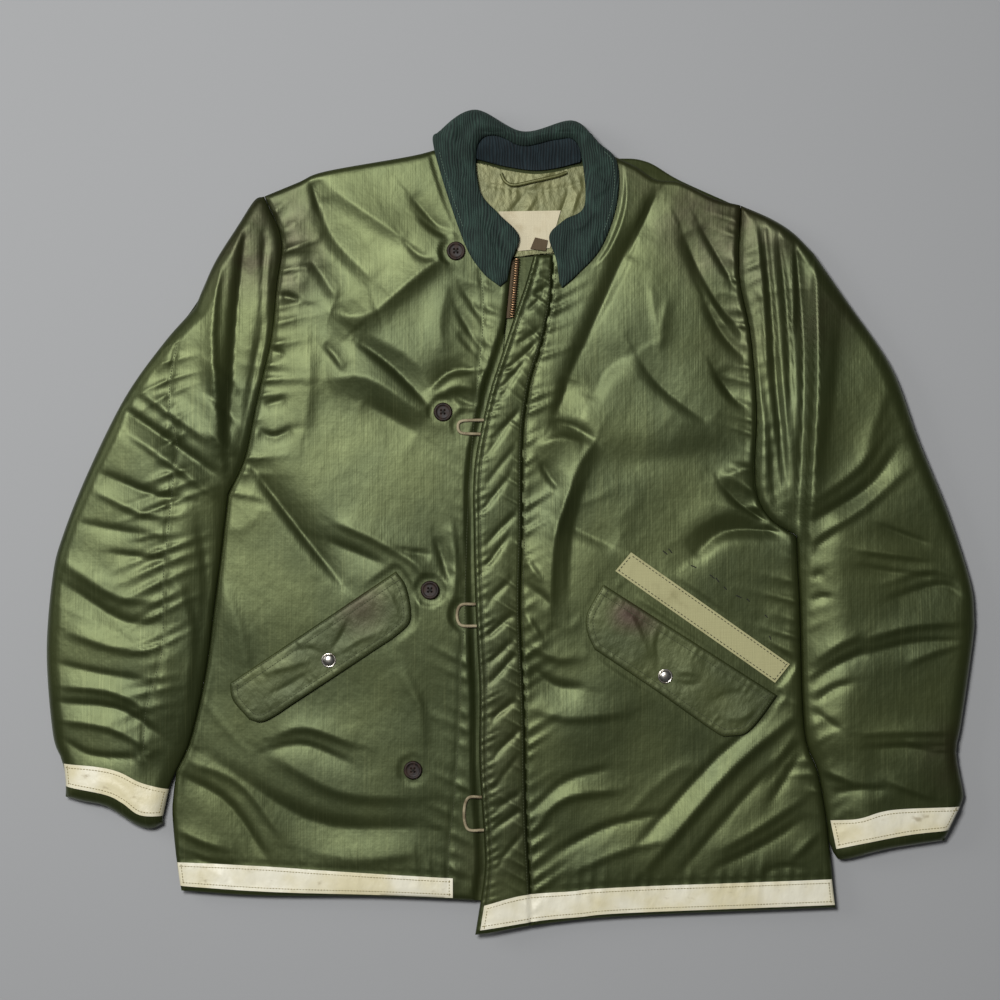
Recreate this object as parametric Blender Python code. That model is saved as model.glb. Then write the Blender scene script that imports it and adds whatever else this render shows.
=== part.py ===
"""A padded cold weather jacket, laid flat on a table, face up, with its front open.

Sizes are in millimetres here and turned into metres when a mesh is made. x runs towards the wearer's left,
y towards the collar and z up from the table. "Right" and "left" in names are the wearer's.
"""
from collections import namedtuple

import bmesh
import bpy
import numpy as np

MM = 0.001
SEAM_GAP = 0.4          # between two pieces that are sewn together
LAY_GAP = 0.35          # between a piece and what it lies on
CELL = 14.0             # the usual step between a panel's points

# Heights above the table
BACK_TOP = 7.0          # top of the padded back panel
FRONT_TOP = 15.3        # usual top of the padded fronts
FRONT_EDGE = 12.6       # their top at an edge or seam
SLEEVE_TOP = 22.5       # top of a flattened sleeve, two padded layers
SLEEVE_EDGE = 11.5
SLIT_LOW, SLIT_HIGH = 9.0, 10.6   # the flat space inside a sleeve
SLEEVE_WALL = 8.0       # width of the cloth beside that space
FLY_UNDER = 11.8        # underside of the fly flap
FLY_TOP = 19.0
COLLAR_UNDER = 15.4     # underside of the collar's falls, on the fronts
COLLAR_FALL_TOP = 23.0
COLLAR_BACK_TOP = 31.0  # the collar's roll behind the neck
LINING_TOP = 10.5
TAPE_THICK = 1.0
LABEL_THICK = 0.6
FLAP_UNDER = 15.8
FLAP_TOP = 20.0

ROUND_OFF = (4.0, 10.0)          # where the rows beside an edge lie, to round it off
TAPE_ROWS = (33.0, 20.0, 7.0)    # rows of a panel that a hem or cuff tape follows, from its end


# Outlines: rows of x, y

ARMHOLE_RIGHT = [(-246, 326), (-229, 283), (-234, 235), (-239, 185), (-250, 137), (-256, 110), (-266, 63),
                 (-282, 28)]
SIDE_RIGHT = [(-282, 28), (-288, -24), (-296, -86), (-305, -153), (-320, -218), (-334, -249)]
SIDE_RIGHT_LOW = [(-334, -249), (-337, -272), (-338, -294), (-334, -337), (-329, -369)]
HEM_RIGHT = [(-329, -369), (-251, -374), (-132, -375), (-30, -379), (-8, -380)]
SHOULDER_RIGHT = [(-246, 326), (-212, 340), (-185, 351), (-101, 366), (-73, 373)]
NECK_RIGHT = [(-73, 373), (-63, 357), (-40, 322), (-12, 288), (2, 260)]
INNER_RIGHT = [(2, 260), (-2, 222), (-7, 172), (-14, 102), (-17, 22), (-16, -78), (-13, -178), (-10, -278),
               (-8, -380)]

ARMHOLE_LEFT = [(231, 317), (229, 249), (240, 193), (245, 143), (247, 103), (245, 58), (248, 25), (262, 2),
                (287, -14)]
SIDE_LEFT = [(287, -14), (288, -45), (290, -78), (291, -118), (293, -185), (297, -222), (308, -250),
             (316, -294), (319, -320)]
SIDE_LEFT_LOW = [(319, -320), (322, -345), (326, -386)]
HEM_LEFT = [(20, -404), (110, -395), (326, -386)]
SHOULDER_LEFT = [(102, 367), (126, 356), (146, 343), (171, 340), (204, 324), (231, 317)]
NECK_LEFT = [(102, 367), (90, 332), (65, 292), (43, 267)]
FLY_SEAM = [(43, 267), (41, 223), (36, 197), (30, 172), (21, 145), (17, 124), (13, 92), (12, 50), (12, -3),
            (10, -90), (14, -182), (16, -289), (20, -369), (20, -404)]

FLY_TOP_EDGE = [(24, 268), (43, 267)]
FLY_EDGE = [(24, 268), (15, 237), (7, 214), (-2, 187), (-12, 157), (-21, 128), (-33, 75), (-37, 40), (-37, 2),
            (-35, -82), (-31, -166), (-31, -242), (-26, -321), (-26, -353), (-35, -413)]
FLY_BOTTOM = [(-35, -413), (-23, -412), (20, -404)]

BACK_HEM = [(-329, -369), (-251, -373), (-30, -377), (110, -391), (326, -385)]
BACK_SHOULDERS = [(-246, 326), (-185, 350), (-101, 365), (-73, 371), (15, 363), (102, 366), (137, 363),
                  (171, 344), (231, 317)]

SLEEVE_RIGHT_TOP = [(-315, 215), (-307, 235), (-294, 263), (-273, 296), (-256, 322), (-246, 326)]
SLEEVE_RIGHT_OUTER = [(-315, 215), (-347, 179), (-386, 124), (-423, 49), (-448, -14), (-458, -54), (-464, -130),
                      (-458, -211), (-449, -238), (-445, -255), (-445, -275)]
SLEEVE_RIGHT_INNER = [(-334, -249), (-341, -266), (-347, -290), (-347, -302)]
CUFF_RIGHT = [(-445, -275), (-428, -280), (-404, -285), (-377, -302), (-360, -307), (-347, -302)]

SLEEVE_LEFT_TOP = [(231, 317), (261, 304), (283, 290), (304, 269)]
SLEEVE_LEFT_OUTER = [(304, 269), (336, 223), (382, 155), (409, 83), (438, 12), (461, -59), (465, -92),
                     (464, -118), (452, -202), (447, -230), (453, -265), (453, -280), (435, -319)]
SLEEVE_LEFT_INNER = [(319, -320), (324, -332)]
CUFF_LEFT = [(324, -332), (334, -338), (377, -328), (408, -323), (435, -319)]

COLLAR_OUTER = [(-10, 235), (-29, 251), (-48, 284), (-76, 372), (-70, 392), (-35, 413), (13, 391), (63, 402),
                (89, 379), (107, 360), (107, 319), (91, 274), (66, 246), (52, 234)]
COLLAR_INNER = [(-3, 241), (2, 262), (9, 286), (-12, 309), (-29, 329), (-34, 361), (-29, 381), (-12, 385),
                (13, 375), (45, 381), (64, 381), (72, 361), (74, 316), (54, 302), (39, 286), (46, 262),
                (49, 240)]
STAND_TOP = [(-33, 370), (-28, 379), (-12, 383), (13, 373), (45, 379), (63, 379), (70, 368)]
STAND_BOTTOM = [(-33, 363), (-5, 356), (23, 352), (45, 354), (70, 360)]
LINING_TOP_EDGE = [(-64, 358), (-33, 361), (-5, 354), (23, 350), (45, 352), (70, 358), (99, 358)]
LINING_RIGHT = [(-64, 358), (-40, 322), (-12, 288), (2, 263)]
LINING_LEFT = [(99, 358), (90, 332), (65, 292), (43, 268)]
LABEL = [(-12, 311), (51, 312), (40, 274), (8, 271)]

FLAP_RIGHT_TOP = [(-280, -161), (-114, -49)]
FLAP_RIGHT_BOTTOM = [(-261, -197), (-249, -200), (-235, -194), (-208, -176), (-118, -117)]
FLAP_RIGHT_SIDE = [(-280, -161), (-277, -178), (-261, -197)]
FLAP_RIGHT_FRONT = [(-114, -49), (-104, -64), (-99, -89), (-102, -103), (-118, -117)]
FLAP_LEFT_TOP = [(93, -62), (267, -173)]
FLAP_LEFT_BOTTOM = [(84, -127), (145, -168), (205, -210), (219, -214)]
FLAP_LEFT_FRONT = [(93, -62), (84, -77), (76, -94), (77, -111), (84, -127)]
FLAP_LEFT_SIDE = [(267, -173), (252, -194), (236, -211), (219, -214)]
NAME_TAPE_TOP = [(121, -30), (280, -142)]
NAME_TAPE_BOTTOM = [(105, -49), (265, -161)]

BUTTONS = [(-54, 271),(-67, 110), (-80, -68), (-97, -248)]
SNAPS = {"snap_right": (-181, -138), "snap_left": (155, -154)}
# Each loop: y where it leaves the fly's edge, y where it returns, and x of its far end
LOOPS = [(102, 88, -52), (-82, -104, -53), (-275, -308, -46)]
BUTTON_RADIUS, BUTTON_THICK = 9.5, 3.6
SNAP_RADIUS, SNAP_RISE = 7.5, 2.6
CORD_RADIUS = 1.4

# Folds: a row for each, with three points along it, its half width and its rise (below 0 for a trough)
Fold = namedtuple("Fold", "x0 y0 x1 y1 x2 y2 width rise")

FOLDS_FRONT_RIGHT = [
    Fold(-182, 334, -129, 297, -88, 262, 10, 3.5),
    Fold(-196, 335, -161, 273, -129, 245, 9, -3.5),
    Fold(-196, 264, -177, 244, -140, 209, 9, 3.0),
    Fold(-69, 270, -101, 237, -129, 208, 14, -3.0),
    Fold(-177, 209, -148, 196, -120, 181, 12, -4.0),
    Fold(-150, 184, -123, 158, -85, 125, 9, 3.0),
    Fold(-177, 139, -132, 142, -86, 89, 12, -4.0),
    Fold(-77, 134, -53, 149, -30, 150, 10, -3.0),
    Fold(-232, 107, -208, 99, -155, 54, 9, 2.5),
    Fold(-135, 83, -106, 60, -73, 18, 9, 3.0),
    Fold(-261, 58, -212, -7, -167, -64, 12, -5.5),
    Fold(-240, 62, -194, 6, -150, -48, 12, 3.5),
    Fold(-184, -17, -155, -30, -126, -42, 10, -3.0),
    Fold(-130, -21, -100, -38, -83, -56, 9, 2.5),
    Fold(-69, 93, -71, 50, -72, 11, 9, 3.0),
    Fold(-236, -215, -205, -206, -153, -223, 10, 3.0),
    Fold(-331, -252, -283, -280, -242, -338, 11, -4.0),
    Fold(-305, -232, -197, -299, -88, -306, 16, -4.0),
    Fold(-333, -308, -308, -320, -283, -328, 9, 2.5),
]
FOLDS_FRONT_LEFT = [
    Fold(133, 345, 108, 268, 89, 220, 12, -5.5),
    Fold(89, 220, 70, 163, 45, 113, 12, -5.5),
    Fold(141, 335, 189, 272, 238, 151, 11, 3.5),
    Fold(175, 325, 208, 253, 232, 199, 9, -3.0),
    Fold(118, 300, 100, 240, 84, 170, 9, 3.0),
    Fold(129, 165, 146, 140, 177, 109, 9, 3.0),
    Fold(26, 77, 57, 92, 83, 90, 10, -4.0),
    Fold(61, 35, 45, -20, 40, -98, 10, 3.5),
    Fold(20, -145, 45, -163, 70, -166, 14, -4.0),
    Fold(208, 45, 222, 26, 250, 5, 9, -3.0),
    Fold(282, -18, 222, -9, 170, -50, 11, -5.0),
    Fold(21, -311, 53, -278, 110, -268, 10, 3.5),
    Fold(40, -333, 97, -304, 151, -291, 10, -4.0),
    Fold(290, -190, 222, -248, 134, -350, 13, 5.0),
    Fold(259, -281, 275, -256, 290, -231, 9, -4.0),
    Fold(205, -346, 257, -320, 290, -298, 10, -4.0),
    Fold(283, -337, 295, -325, 307, -313, 9, 3.0),
]
FOLDS_SLEEVE_RIGHT = [
    Fold(-389, 116, -334, 77, -289, 44, 12, -6.0),
    Fold(-380, 92, -330, 56, -290, 26, 10, 3.5),
    Fold(-407, 49, -357, 28, -321, 23, 10, -4.0),
    Fold(-399, -30, -371, -34, -344, -37, 9, -3.0),
    Fold(-447, -60, -387, -98, -351, -100, 14, -4.0),
    Fold(-452, -179, -390, -186, -347, -214, 10, -3.5),
    Fold(-444, -217, -417, -232, -367, -235, 9, 3.0),
    Fold(-262, 300, -262, 192, -276, 62, 14, -8.0),
]
FOLDS_SLEEVE_LEFT = [
    Fold(299, 0, 356, 35, 388, 78, 12, -5.0),
    Fold(345, -28, 382, -33, 420, -37, 9, 3.0),
    Fold(377, -77, 431, -62, 454, -77, 10, -3.0),
    Fold(351, -118, 402, -104, 454, -100, 10, 3.0),
    Fold(304, -155, 328, -141, 356, -127, 10, -4.0),
    Fold(356, -225, 400, -224, 446, -224, 10, -3.0),
    Fold(307, -248, 325, -269, 374, -266, 9, 3.0),
    Fold(262, 292, 274, 192, 274, 20, 13, -8.0),
    Fold(288, 270, 293, 192, 288, 60, 9, 3.0),
]
PUCKER_STEP, PUCKER_WIDTH, PUCKER_RISE = 33.0, 8.0, -2.6   # the slanting puckers down the fly flap

COLOURS = {   # sRGB 0 to 255, roughness, metallic
    "shell_satin": (104, 120, 74, 0.42, 0.0),
    "collar_corduroy": (38, 62, 52, 0.85, 0.0),
    "stand_cloth": (22, 38, 42, 0.8, 0.0),
    "lining_satin": (112, 112, 66, 0.5, 0.0),
    "label_cloth": (220, 212, 180, 0.8, 0.0),
    "reflective_tape": (222, 214, 178, 0.5, 0.0),
    "name_tape_cloth": (165, 160, 110, 0.9, 0.0),
    "zip_tape_cloth": (110, 88, 62, 0.8, 0.0),
    "loop_cord": (170, 160, 130, 0.8, 0.0),
    "button_plastic": (58, 42, 34, 0.35, 0.0),
    "snap_metal": (150, 146, 138, 0.3, 1.0),
}


def curve(points, stops):
    """A smooth curve through the points (Catmull-Rom), read at stops from 0 to 1 of its length."""
    p = np.asarray(points, float)
    p = np.vstack([2 * p[0] - p[1], p, 2 * p[-1] - p[-2]])
    t = np.linspace(0, 1, 24, endpoint=False)[:, None]
    spans = []
    for a, b, c, d in zip(p, p[1:], p[2:], p[3:]):
        spans.append(0.5 * (2 * b + (c - a) * t + (2 * a - 5 * b + 4 * c - d) * t ** 2
                            + (3 * b - a - 3 * c + d) * t ** 3))
    line = np.vstack(spans + [p[-2:-1]])
    reach = np.concatenate([[0], np.cumsum(np.hypot(*np.diff(line, axis=0).T))])
    want = np.asarray(stops) * reach[-1]
    return np.column_stack([np.interp(want, reach, line[:, k]) for k in (0, 1)])


def length(points):
    """Length of the smooth curve through the points."""
    line = curve(points, np.linspace(0, 1, 200))
    return np.hypot(*np.diff(line, axis=0).T).sum()


def stops(points, cells, start=(), end=()):
    """Places from 0 to 1 along a curve: start and end are distances from its ends, the rest is even."""
    whole = length(points)
    first = [s / whole for s in start]
    last = [1 - s / whole for s in end]
    low = first[-1] if first else 0.0
    high = last[0] if last else 1.0
    even = np.linspace(low, high, cells + 1 - len(first) - len(last))
    head = [0.0] + first[:-1] if first else []
    tail = last[1:] + [1.0] if last else []
    return np.concatenate([head, even, tail])


def side(*parts):
    """One side of a panel from curves that follow each other; each part is a curve's sampled points."""
    return np.vstack([parts[0]] + [p[1:] for p in parts[1:]])


def patch(top, bottom, left, right):
    """Grid of points between four sides: each point blends its two side points and its top and bottom ones."""
    def share(line):
        reach = np.concatenate([[0], np.cumsum(np.hypot(*np.diff(line, axis=0).T))])
        return reach / reach[-1]
    u = ((share(top) + share(bottom)) / 2)[None, :, None]
    v = ((share(left) + share(right)) / 2)[:, None, None]
    corners = ((1 - u) * (1 - v) * top[0] + u * (1 - v) * top[-1]
               + (1 - u) * v * bottom[0] + u * v * bottom[-1])
    return (1 - v) * top[None] + v * bottom[None] + (1 - u) * left[:, None] + u * right[:, None] - corners


def rim(rows, cols):
    """Row and column of each point round a grid, anticlockwise seen from above."""
    left = [(i, 0) for i in range(rows)]
    bottom = [(rows - 1, j) for j in range(1, cols)]
    right = [(i, cols - 1) for i in range(rows - 2, -1, -1)]
    top = [(0, j) for j in range(cols - 2, 0, -1)]
    return np.array(left + bottom + right + top)


def inset(loop, amount):
    """A closed anticlockwise loop moved inwards by an amount, which may differ from point to point."""
    ahead = np.roll(loop, -1, axis=0) - loop
    ahead /= np.hypot(*ahead.T)[:, None]
    normal = np.column_stack([-ahead[:, 1], ahead[:, 0]])
    before = np.roll(normal, 1, axis=0)
    share = np.maximum(1 + (normal * before).sum(1), 0.6)
    return loop + (normal + before) / share[:, None] * np.broadcast_to(amount, len(loop))[:, None]


def line_distance(points, line):
    """Distance from each point to an open line, and how far along the line, 0 to 1, its nearest point is."""
    a, b = line[:-1], line[1:]
    run = b - a
    offset = points[..., None, :] - a
    t = np.clip((offset * run).sum(-1) / np.maximum((run ** 2).sum(-1), 1e-9), 0, 1)
    far = np.hypot(*np.moveaxis(offset - t[..., None] * run, -1, 0))
    nearest = far.argmin(-1)
    along = (nearest + np.take_along_axis(t, nearest[..., None], -1)[..., 0]) / len(a)
    return far.min(-1), along


def outside(points, loop):
    """Distance from each point to a closed loop, below 0 inside it."""
    far, _ = line_distance(points, np.vstack([loop, loop[:1]]))
    x, y = points[..., 0, None], points[..., 1, None]
    x0, y0 = loop.T
    x1, y1 = np.roll(loop, -1, axis=0).T
    crosses = ((y0 > y) != (y1 > y)) & (x < (x1 - x0) * (y - y0) / np.where(y1 == y0, 1e-9, y1 - y0) + x0)
    return np.where(crosses.sum(-1) % 2 == 1, -far, far)


def fold_height(points, folds):
    """Sum of the folds at each point: a bell across each fold that fades to nothing at both its ends."""
    rise = np.zeros(points.shape[:-1])
    for f in folds:
        line = curve([(f.x0, f.y0), (f.x1, f.y1), (f.x2, f.y2)], np.linspace(0, 1, 9))
        far, along = line_distance(points, line)
        rise += f.rise * np.exp(-(far / f.width) ** 2 * 1.4) * np.sqrt(np.sin(np.pi * np.clip(along, 0.02, 0.98)))
    return rise


def crown(points, loop, low, high, radius):
    """A height that starts low at the loop and rounds up to high over the radius."""
    reach = np.clip(-outside(points, loop) / radius, 0, 1)
    return low + (high - low) * np.sqrt(1 - (1 - reach) ** 2)


def capped(points, height, covers, margin=CELL):
    """Height pressed down under each cover and for a margin round it, so that no triangle between the points
    reaches into it. A cover is a loop, the height under it and the slope beside it."""
    for loop, under, slope in covers:
        height = np.minimum(height, under + slope * np.maximum(outside(points, loop) - margin, 0))
    return height


def tile(rows, cols, first=0):
    """Triangles of a grid of points, facing up, from the number of its first point."""
    n = first + np.arange(rows * cols).reshape(rows, cols)
    a, b, c, d = n[:-1, :-1].ravel(), n[1:, :-1].ravel(), n[1:, 1:].ravel(), n[:-1, 1:].ravel()
    return np.column_stack([a, b, c]).tolist() + np.column_stack([a, c, d]).tolist()


def ring_faces(upper, lower):
    """Quads from one ring of point numbers down to another, facing out."""
    faces = []
    for k in range(len(upper)):
        n = (k + 1) % len(upper)
        faces.append((upper[k], lower[k], lower[n], upper[n]))
    return faces


def padded_panel(grid, height, under, tuck=2.0):
    """A panel with its top as the height says, and a flat underside whose edge is tucked in."""
    rows, cols = height.shape
    top = np.dstack([grid, height]).reshape(-1, 3)
    edge = rim(rows, cols)
    upper = (edge[:, 0] * cols + edge[:, 1]).tolist()
    low = inset(grid[edge[:, 0], edge[:, 1]], tuck)
    lower = list(range(len(top), len(top) + len(low)))
    points = np.vstack([top, np.column_stack([low, np.full(len(low), under)])])
    return points, tile(rows, cols) + ring_faces(upper, lower) + [tuple(reversed(lower))]


def slab(grid, over, under):
    """A wall between two heights over the same grid."""
    rows, cols = grid.shape[:2]
    over, under = (np.broadcast_to(h, (rows, cols)) for h in (over, under))
    points = np.vstack([np.dstack([grid, over]).reshape(-1, 3), np.dstack([grid, under]).reshape(-1, 3)])
    edge = rim(rows, cols)
    upper = (edge[:, 0] * cols + edge[:, 1]).tolist()
    lower = [n + rows * cols for n in upper]
    base = [tuple(reversed(face)) for face in tile(rows, cols, rows * cols)]
    return points, tile(rows, cols) + base + ring_faces(upper, lower)


def flat_tube(grid, height, is_open):
    """A sleeve: its top as the height says, a flat underside, and a flat space inside that opens wherever
    is_open holds for a rim point, at the cuff and the armhole."""
    rows, cols = height.shape
    top = np.dstack([grid, height]).reshape(-1, 3)
    edge = rim(rows, cols)
    count = len(edge)
    upper = (edge[:, 0] * cols + edge[:, 1]).tolist()
    loop = grid[edge[:, 0], edge[:, 1]]
    inner = inset(loop, np.where(is_open, 1.0, SLEEVE_WALL))
    base = inset(loop, np.where(is_open, 0.0, 4.0))
    levels = [(inner, SLIT_HIGH), (inner, SLIT_LOW), (base, 0.0)]
    points = np.vstack([top] + [np.column_stack([xy, np.full(count, z)]) for xy, z in levels])
    roof, floor, ground = ([len(top) + count * k + n for n in range(count)] for k in range(3))
    faces = tile(rows, cols) + [tuple(reversed(ground)), tuple(floor), tuple(reversed(roof))]
    for k in range(count):
        n = (k + 1) % count
        if is_open[k] and is_open[n]:
            faces.append((upper[k], roof[k], roof[n], upper[n]))
            faces.append((floor[k], ground[k], ground[n], floor[n]))
            continue
        faces.append((upper[k], ground[k], ground[n], upper[n]))
        faces.append((roof[k], roof[n], floor[n], floor[k]))
        if is_open[k]:
            faces.append((upper[k], roof[k], floor[k], ground[k]))
        if is_open[n]:
            faces.append((upper[n], ground[n], floor[n], roof[n]))
    return points, faces


def disc(centre, low, profile, sides):
    """A turned piece: profile rows are radius and height above low, from its foot to its middle."""
    turn = np.linspace(0, 2 * np.pi, sides, endpoint=False)
    rings = [np.column_stack([centre[0] + r * np.cos(turn), centre[1] + r * np.sin(turn),
                              np.full(sides, low + h)]) for r, h in profile]
    faces = [tuple(reversed(range(sides)))]
    for k in range(len(profile) - 1):
        faces += ring_faces([(k + 1) * sides + n for n in range(sides)], [k * sides + n for n in range(sides)])
    faces.append(tuple(range((len(profile) - 1) * sides, len(profile) * sides)))
    return np.vstack(rings), faces


def cord(points, radius, sides=8):
    """A round cord along points, with flat ends."""
    p = np.asarray(points, float)
    way = np.gradient(p, axis=0)
    way /= np.linalg.norm(way, axis=1)[:, None]
    across = np.cross(way, (0, 0, 1.0))
    across /= np.linalg.norm(across, axis=1)[:, None]
    lift = np.cross(across, way)
    turn = np.linspace(0, 2 * np.pi, sides, endpoint=False)
    rings = p[:, None] + radius * (across[:, None] * np.cos(turn)[:, None] + lift[:, None] * np.sin(turn)[:, None])
    faces = [tuple(range(sides)), tuple(reversed(range((len(p) - 1) * sides, len(p) * sides)))]
    for k in range(len(p) - 1):
        faces += ring_faces([k * sides + n for n in range(sides)], [(k + 1) * sides + n for n in range(sides)])
    return rings.reshape(-1, 3), faces


def parted(grid, gap=SEAM_GAP / 2):
    """The grid with its rim moved in, so that half the seam's gap lies on each side."""
    edge = rim(*grid.shape[:2])
    grid = grid.copy()
    grid[edge[:, 0], edge[:, 1]] = inset(grid[edge[:, 0], edge[:, 1]], gap)
    return grid


def rim_loop(grid):
    """The rim points of a grid as a closed loop."""
    edge = rim(*grid.shape[:2])
    return grid[edge[:, 0], edge[:, 1]]


def circle(centre, radius, sides=16):
    """A loop round a point."""
    turn = np.linspace(0, 2 * np.pi, sides, endpoint=False)
    return np.column_stack([centre[0] + radius * np.cos(turn), centre[1] + radius * np.sin(turn)])


def small_patch(top, bottom, left, right, rows, cols):
    """A patch between four short curves, cut evenly."""
    across, down = np.linspace(0, 1, cols + 1), np.linspace(0, 1, rows + 1)
    return parted(patch(curve(top, across), curve(bottom, across), curve(left, down), curve(right, down)))


def rounded_patch(top, bottom, left, right, rows, cols):
    """A patch between four curves, with rows and columns close to its edges."""
    def across(line):
        return curve(line, stops(line, cols, ROUND_OFF, ROUND_OFF[::-1]))

    def down(line):
        return curve(line, stops(line, rows, ROUND_OFF, ROUND_OFF[::-1]))
    return parted(patch(across(top), across(bottom), down(left), down(right)))


pieces = {}             # name: points, faces, material


# Grids of the panels. Panels that share a seam share its sampled points.

fly_seam = curve(FLY_SEAM, stops(FLY_SEAM, 50, end=TAPE_ROWS))
armhole_left = curve(ARMHOLE_LEFT, stops(ARMHOLE_LEFT, 26, start=ROUND_OFF))
armhole_right = curve(ARMHOLE_RIGHT, stops(ARMHOLE_RIGHT, 23, start=ROUND_OFF))
side_left = curve(SIDE_LEFT, stops(SIDE_LEFT, 22))
side_right = curve(SIDE_RIGHT, stops(SIDE_RIGHT, 20))
inner_right = side(curve(NECK_RIGHT, stops(NECK_RIGHT, 10, start=ROUND_OFF)),
                   curve(INNER_RIGHT, stops(INNER_RIGHT, 43, end=TAPE_ROWS)))


def across_front(line, cells=22):
    """A front's shoulder or hem, with columns close to its two edges."""
    return curve(line, stops(line, cells, ROUND_OFF, ROUND_OFF[::-1]))


front_right = parted(patch(
    across_front(SHOULDER_RIGHT), across_front(HEM_RIGHT),
    side(armhole_right, side_right, curve(SIDE_RIGHT_LOW, stops(SIDE_RIGHT_LOW, 10, end=TAPE_ROWS))),
    inner_right))
front_left = parted(patch(
    across_front(SHOULDER_LEFT), across_front(HEM_LEFT),
    side(curve(NECK_LEFT, stops(NECK_LEFT, 5 + len(ROUND_OFF), start=ROUND_OFF)), fly_seam),
    side(armhole_left, side_left, curve(SIDE_LEFT_LOW, stops(SIDE_LEFT_LOW, 9, end=TAPE_ROWS)))))
fly = parted(patch(
    curve(FLY_TOP_EDGE, (0, 0.1, 0.25, 0.45, 0.7, 0.9, 1)), curve(FLY_BOTTOM, (0, 0.1, 0.25, 0.45, 0.7, 0.9, 1)),
    curve(FLY_EDGE, stops(FLY_EDGE, 50, end=TAPE_ROWS)), fly_seam))

SLEEVE_COLS = 13


def across_sleeve(line):
    """A sleeve's head or cuff, with columns close to its two edges."""
    return curve(line, stops(line, SLEEVE_COLS, ROUND_OFF, ROUND_OFF[::-1]))


sleeve_right_inner = side(armhole_right, side_right, curve(SLEEVE_RIGHT_INNER, (0, 0.4, 0.7, 1)))
sleeve_right = parted(patch(
    across_sleeve(SLEEVE_RIGHT_TOP), across_sleeve(CUFF_RIGHT),
    curve(SLEEVE_RIGHT_OUTER, stops(SLEEVE_RIGHT_OUTER, len(sleeve_right_inner) - 1, ROUND_OFF, TAPE_ROWS)),
    sleeve_right_inner))
sleeve_left_inner = side(armhole_left, side_left, curve(SLEEVE_LEFT_INNER, (0, 1)))
sleeve_left = parted(patch(
    across_sleeve(SLEEVE_LEFT_TOP), across_sleeve(CUFF_LEFT), sleeve_left_inner,
    curve(SLEEVE_LEFT_OUTER, stops(SLEEVE_LEFT_OUTER, len(sleeve_left_inner) - 1, ROUND_OFF, TAPE_ROWS))))

flap_right = rounded_patch(FLAP_RIGHT_TOP, FLAP_RIGHT_BOTTOM, FLAP_RIGHT_SIDE, FLAP_RIGHT_FRONT, 7, 16)
flap_left = rounded_patch(FLAP_LEFT_TOP, FLAP_LEFT_BOTTOM, FLAP_LEFT_FRONT, FLAP_LEFT_SIDE, 7, 16)
name_tape = small_patch(NAME_TAPE_TOP, NAME_TAPE_BOTTOM, [NAME_TAPE_TOP[0], NAME_TAPE_BOTTOM[0]],
                        [NAME_TAPE_TOP[1], NAME_TAPE_BOTTOM[1]], 2, 12)
COLLAR_STEPS = np.linspace(0, 1, 45)
collar = parted(patch(curve(COLLAR_OUTER, COLLAR_STEPS), curve(COLLAR_INNER, COLLAR_STEPS),
                      curve([COLLAR_OUTER[0], COLLAR_INNER[0]], (0, 0.12, 0.35, 0.65, 0.88, 1)),
                      curve([COLLAR_OUTER[-1], COLLAR_INNER[-1]], (0, 0.12, 0.35, 0.65, 0.88, 1))))

# What lies on the fronts presses them flat below it
fly_cover = (rim_loop(fly), FLY_UNDER - LAY_GAP, 0.7)
collar_cover = (rim_loop(collar), COLLAR_UNDER - LAY_GAP, 0.5)
button_covers = [(circle(c, BUTTON_RADIUS + 3), FRONT_TOP, 0.5) for c in BUTTONS]
loop_covers = [(circle(((far + -30) / 2, (y0 + y1) / 2), 24), 12.4, 0.5) for y0, y1, far in LOOPS]


def front_height(grid, folds, covers):
    """Top of a front: a padded crown with its folds, pressed flat under what lies on it."""
    loop = rim_loop(grid)
    height = crown(grid, loop, FRONT_EDGE, FRONT_TOP, 12.0)
    height += fold_height(grid, folds) * np.clip(-outside(grid, loop) / 12 + 0.25, 0, 1)
    return capped(grid, height, covers)


# Fronts and back

height_right = front_height(front_right, FOLDS_FRONT_RIGHT,
                            [fly_cover, collar_cover, (rim_loop(flap_right), FLAP_UNDER - LAY_GAP, 0.6)]
                            + button_covers + loop_covers)
pieces["front_right"] = (*padded_panel(front_right, height_right, BACK_TOP + LAY_GAP), "shell_satin")
height_left = front_height(front_left, FOLDS_FRONT_LEFT,
                           [collar_cover, (rim_loop(flap_left), FLAP_UNDER - LAY_GAP, 0.6),
                            (rim_loop(name_tape), FRONT_TOP, 0.6)])
pieces["front_left"] = (*padded_panel(front_left, height_left, BACK_TOP + LAY_GAP), "shell_satin")

back_right_side = side(armhole_right, side_right, curve(SIDE_RIGHT_LOW, np.linspace(0, 1, 7)))
back_left_side = side(armhole_left, side_left, curve(SIDE_LEFT_LOW, np.linspace(0, 1, 4)))
back_loop = inset(np.vstack([back_right_side[1:-1], curve(BACK_HEM, np.linspace(0, 1, 25)),
                             back_left_side[::-1][1:-1], curve(BACK_SHOULDERS, np.linspace(1, 0, 25))]), 1.2)


def flat_panel(loop, top, under, tuck):
    """A flat padded panel inside a loop: a slanting edge, then a rounded one down to a tucked-in underside."""
    rings = [(inset(loop, tuck), under), (loop, under + (top - under) * 0.4), (inset(loop, 0.6 * tuck), top)]
    count = len(loop)
    points = np.vstack([np.column_stack([xy, np.full(count, z)]) for xy, z in rings])
    foot, belly, head = ([count * k + n for n in range(count)] for k in range(3))
    return points, ring_faces(belly, foot) + ring_faces(head, belly) + [tuple(head), tuple(reversed(foot))]


pieces["back"] = (*flat_panel(back_loop, BACK_TOP, 0.0, 3.0), "shell_satin")


# Sleeves, open at the armhole and the cuff

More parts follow.
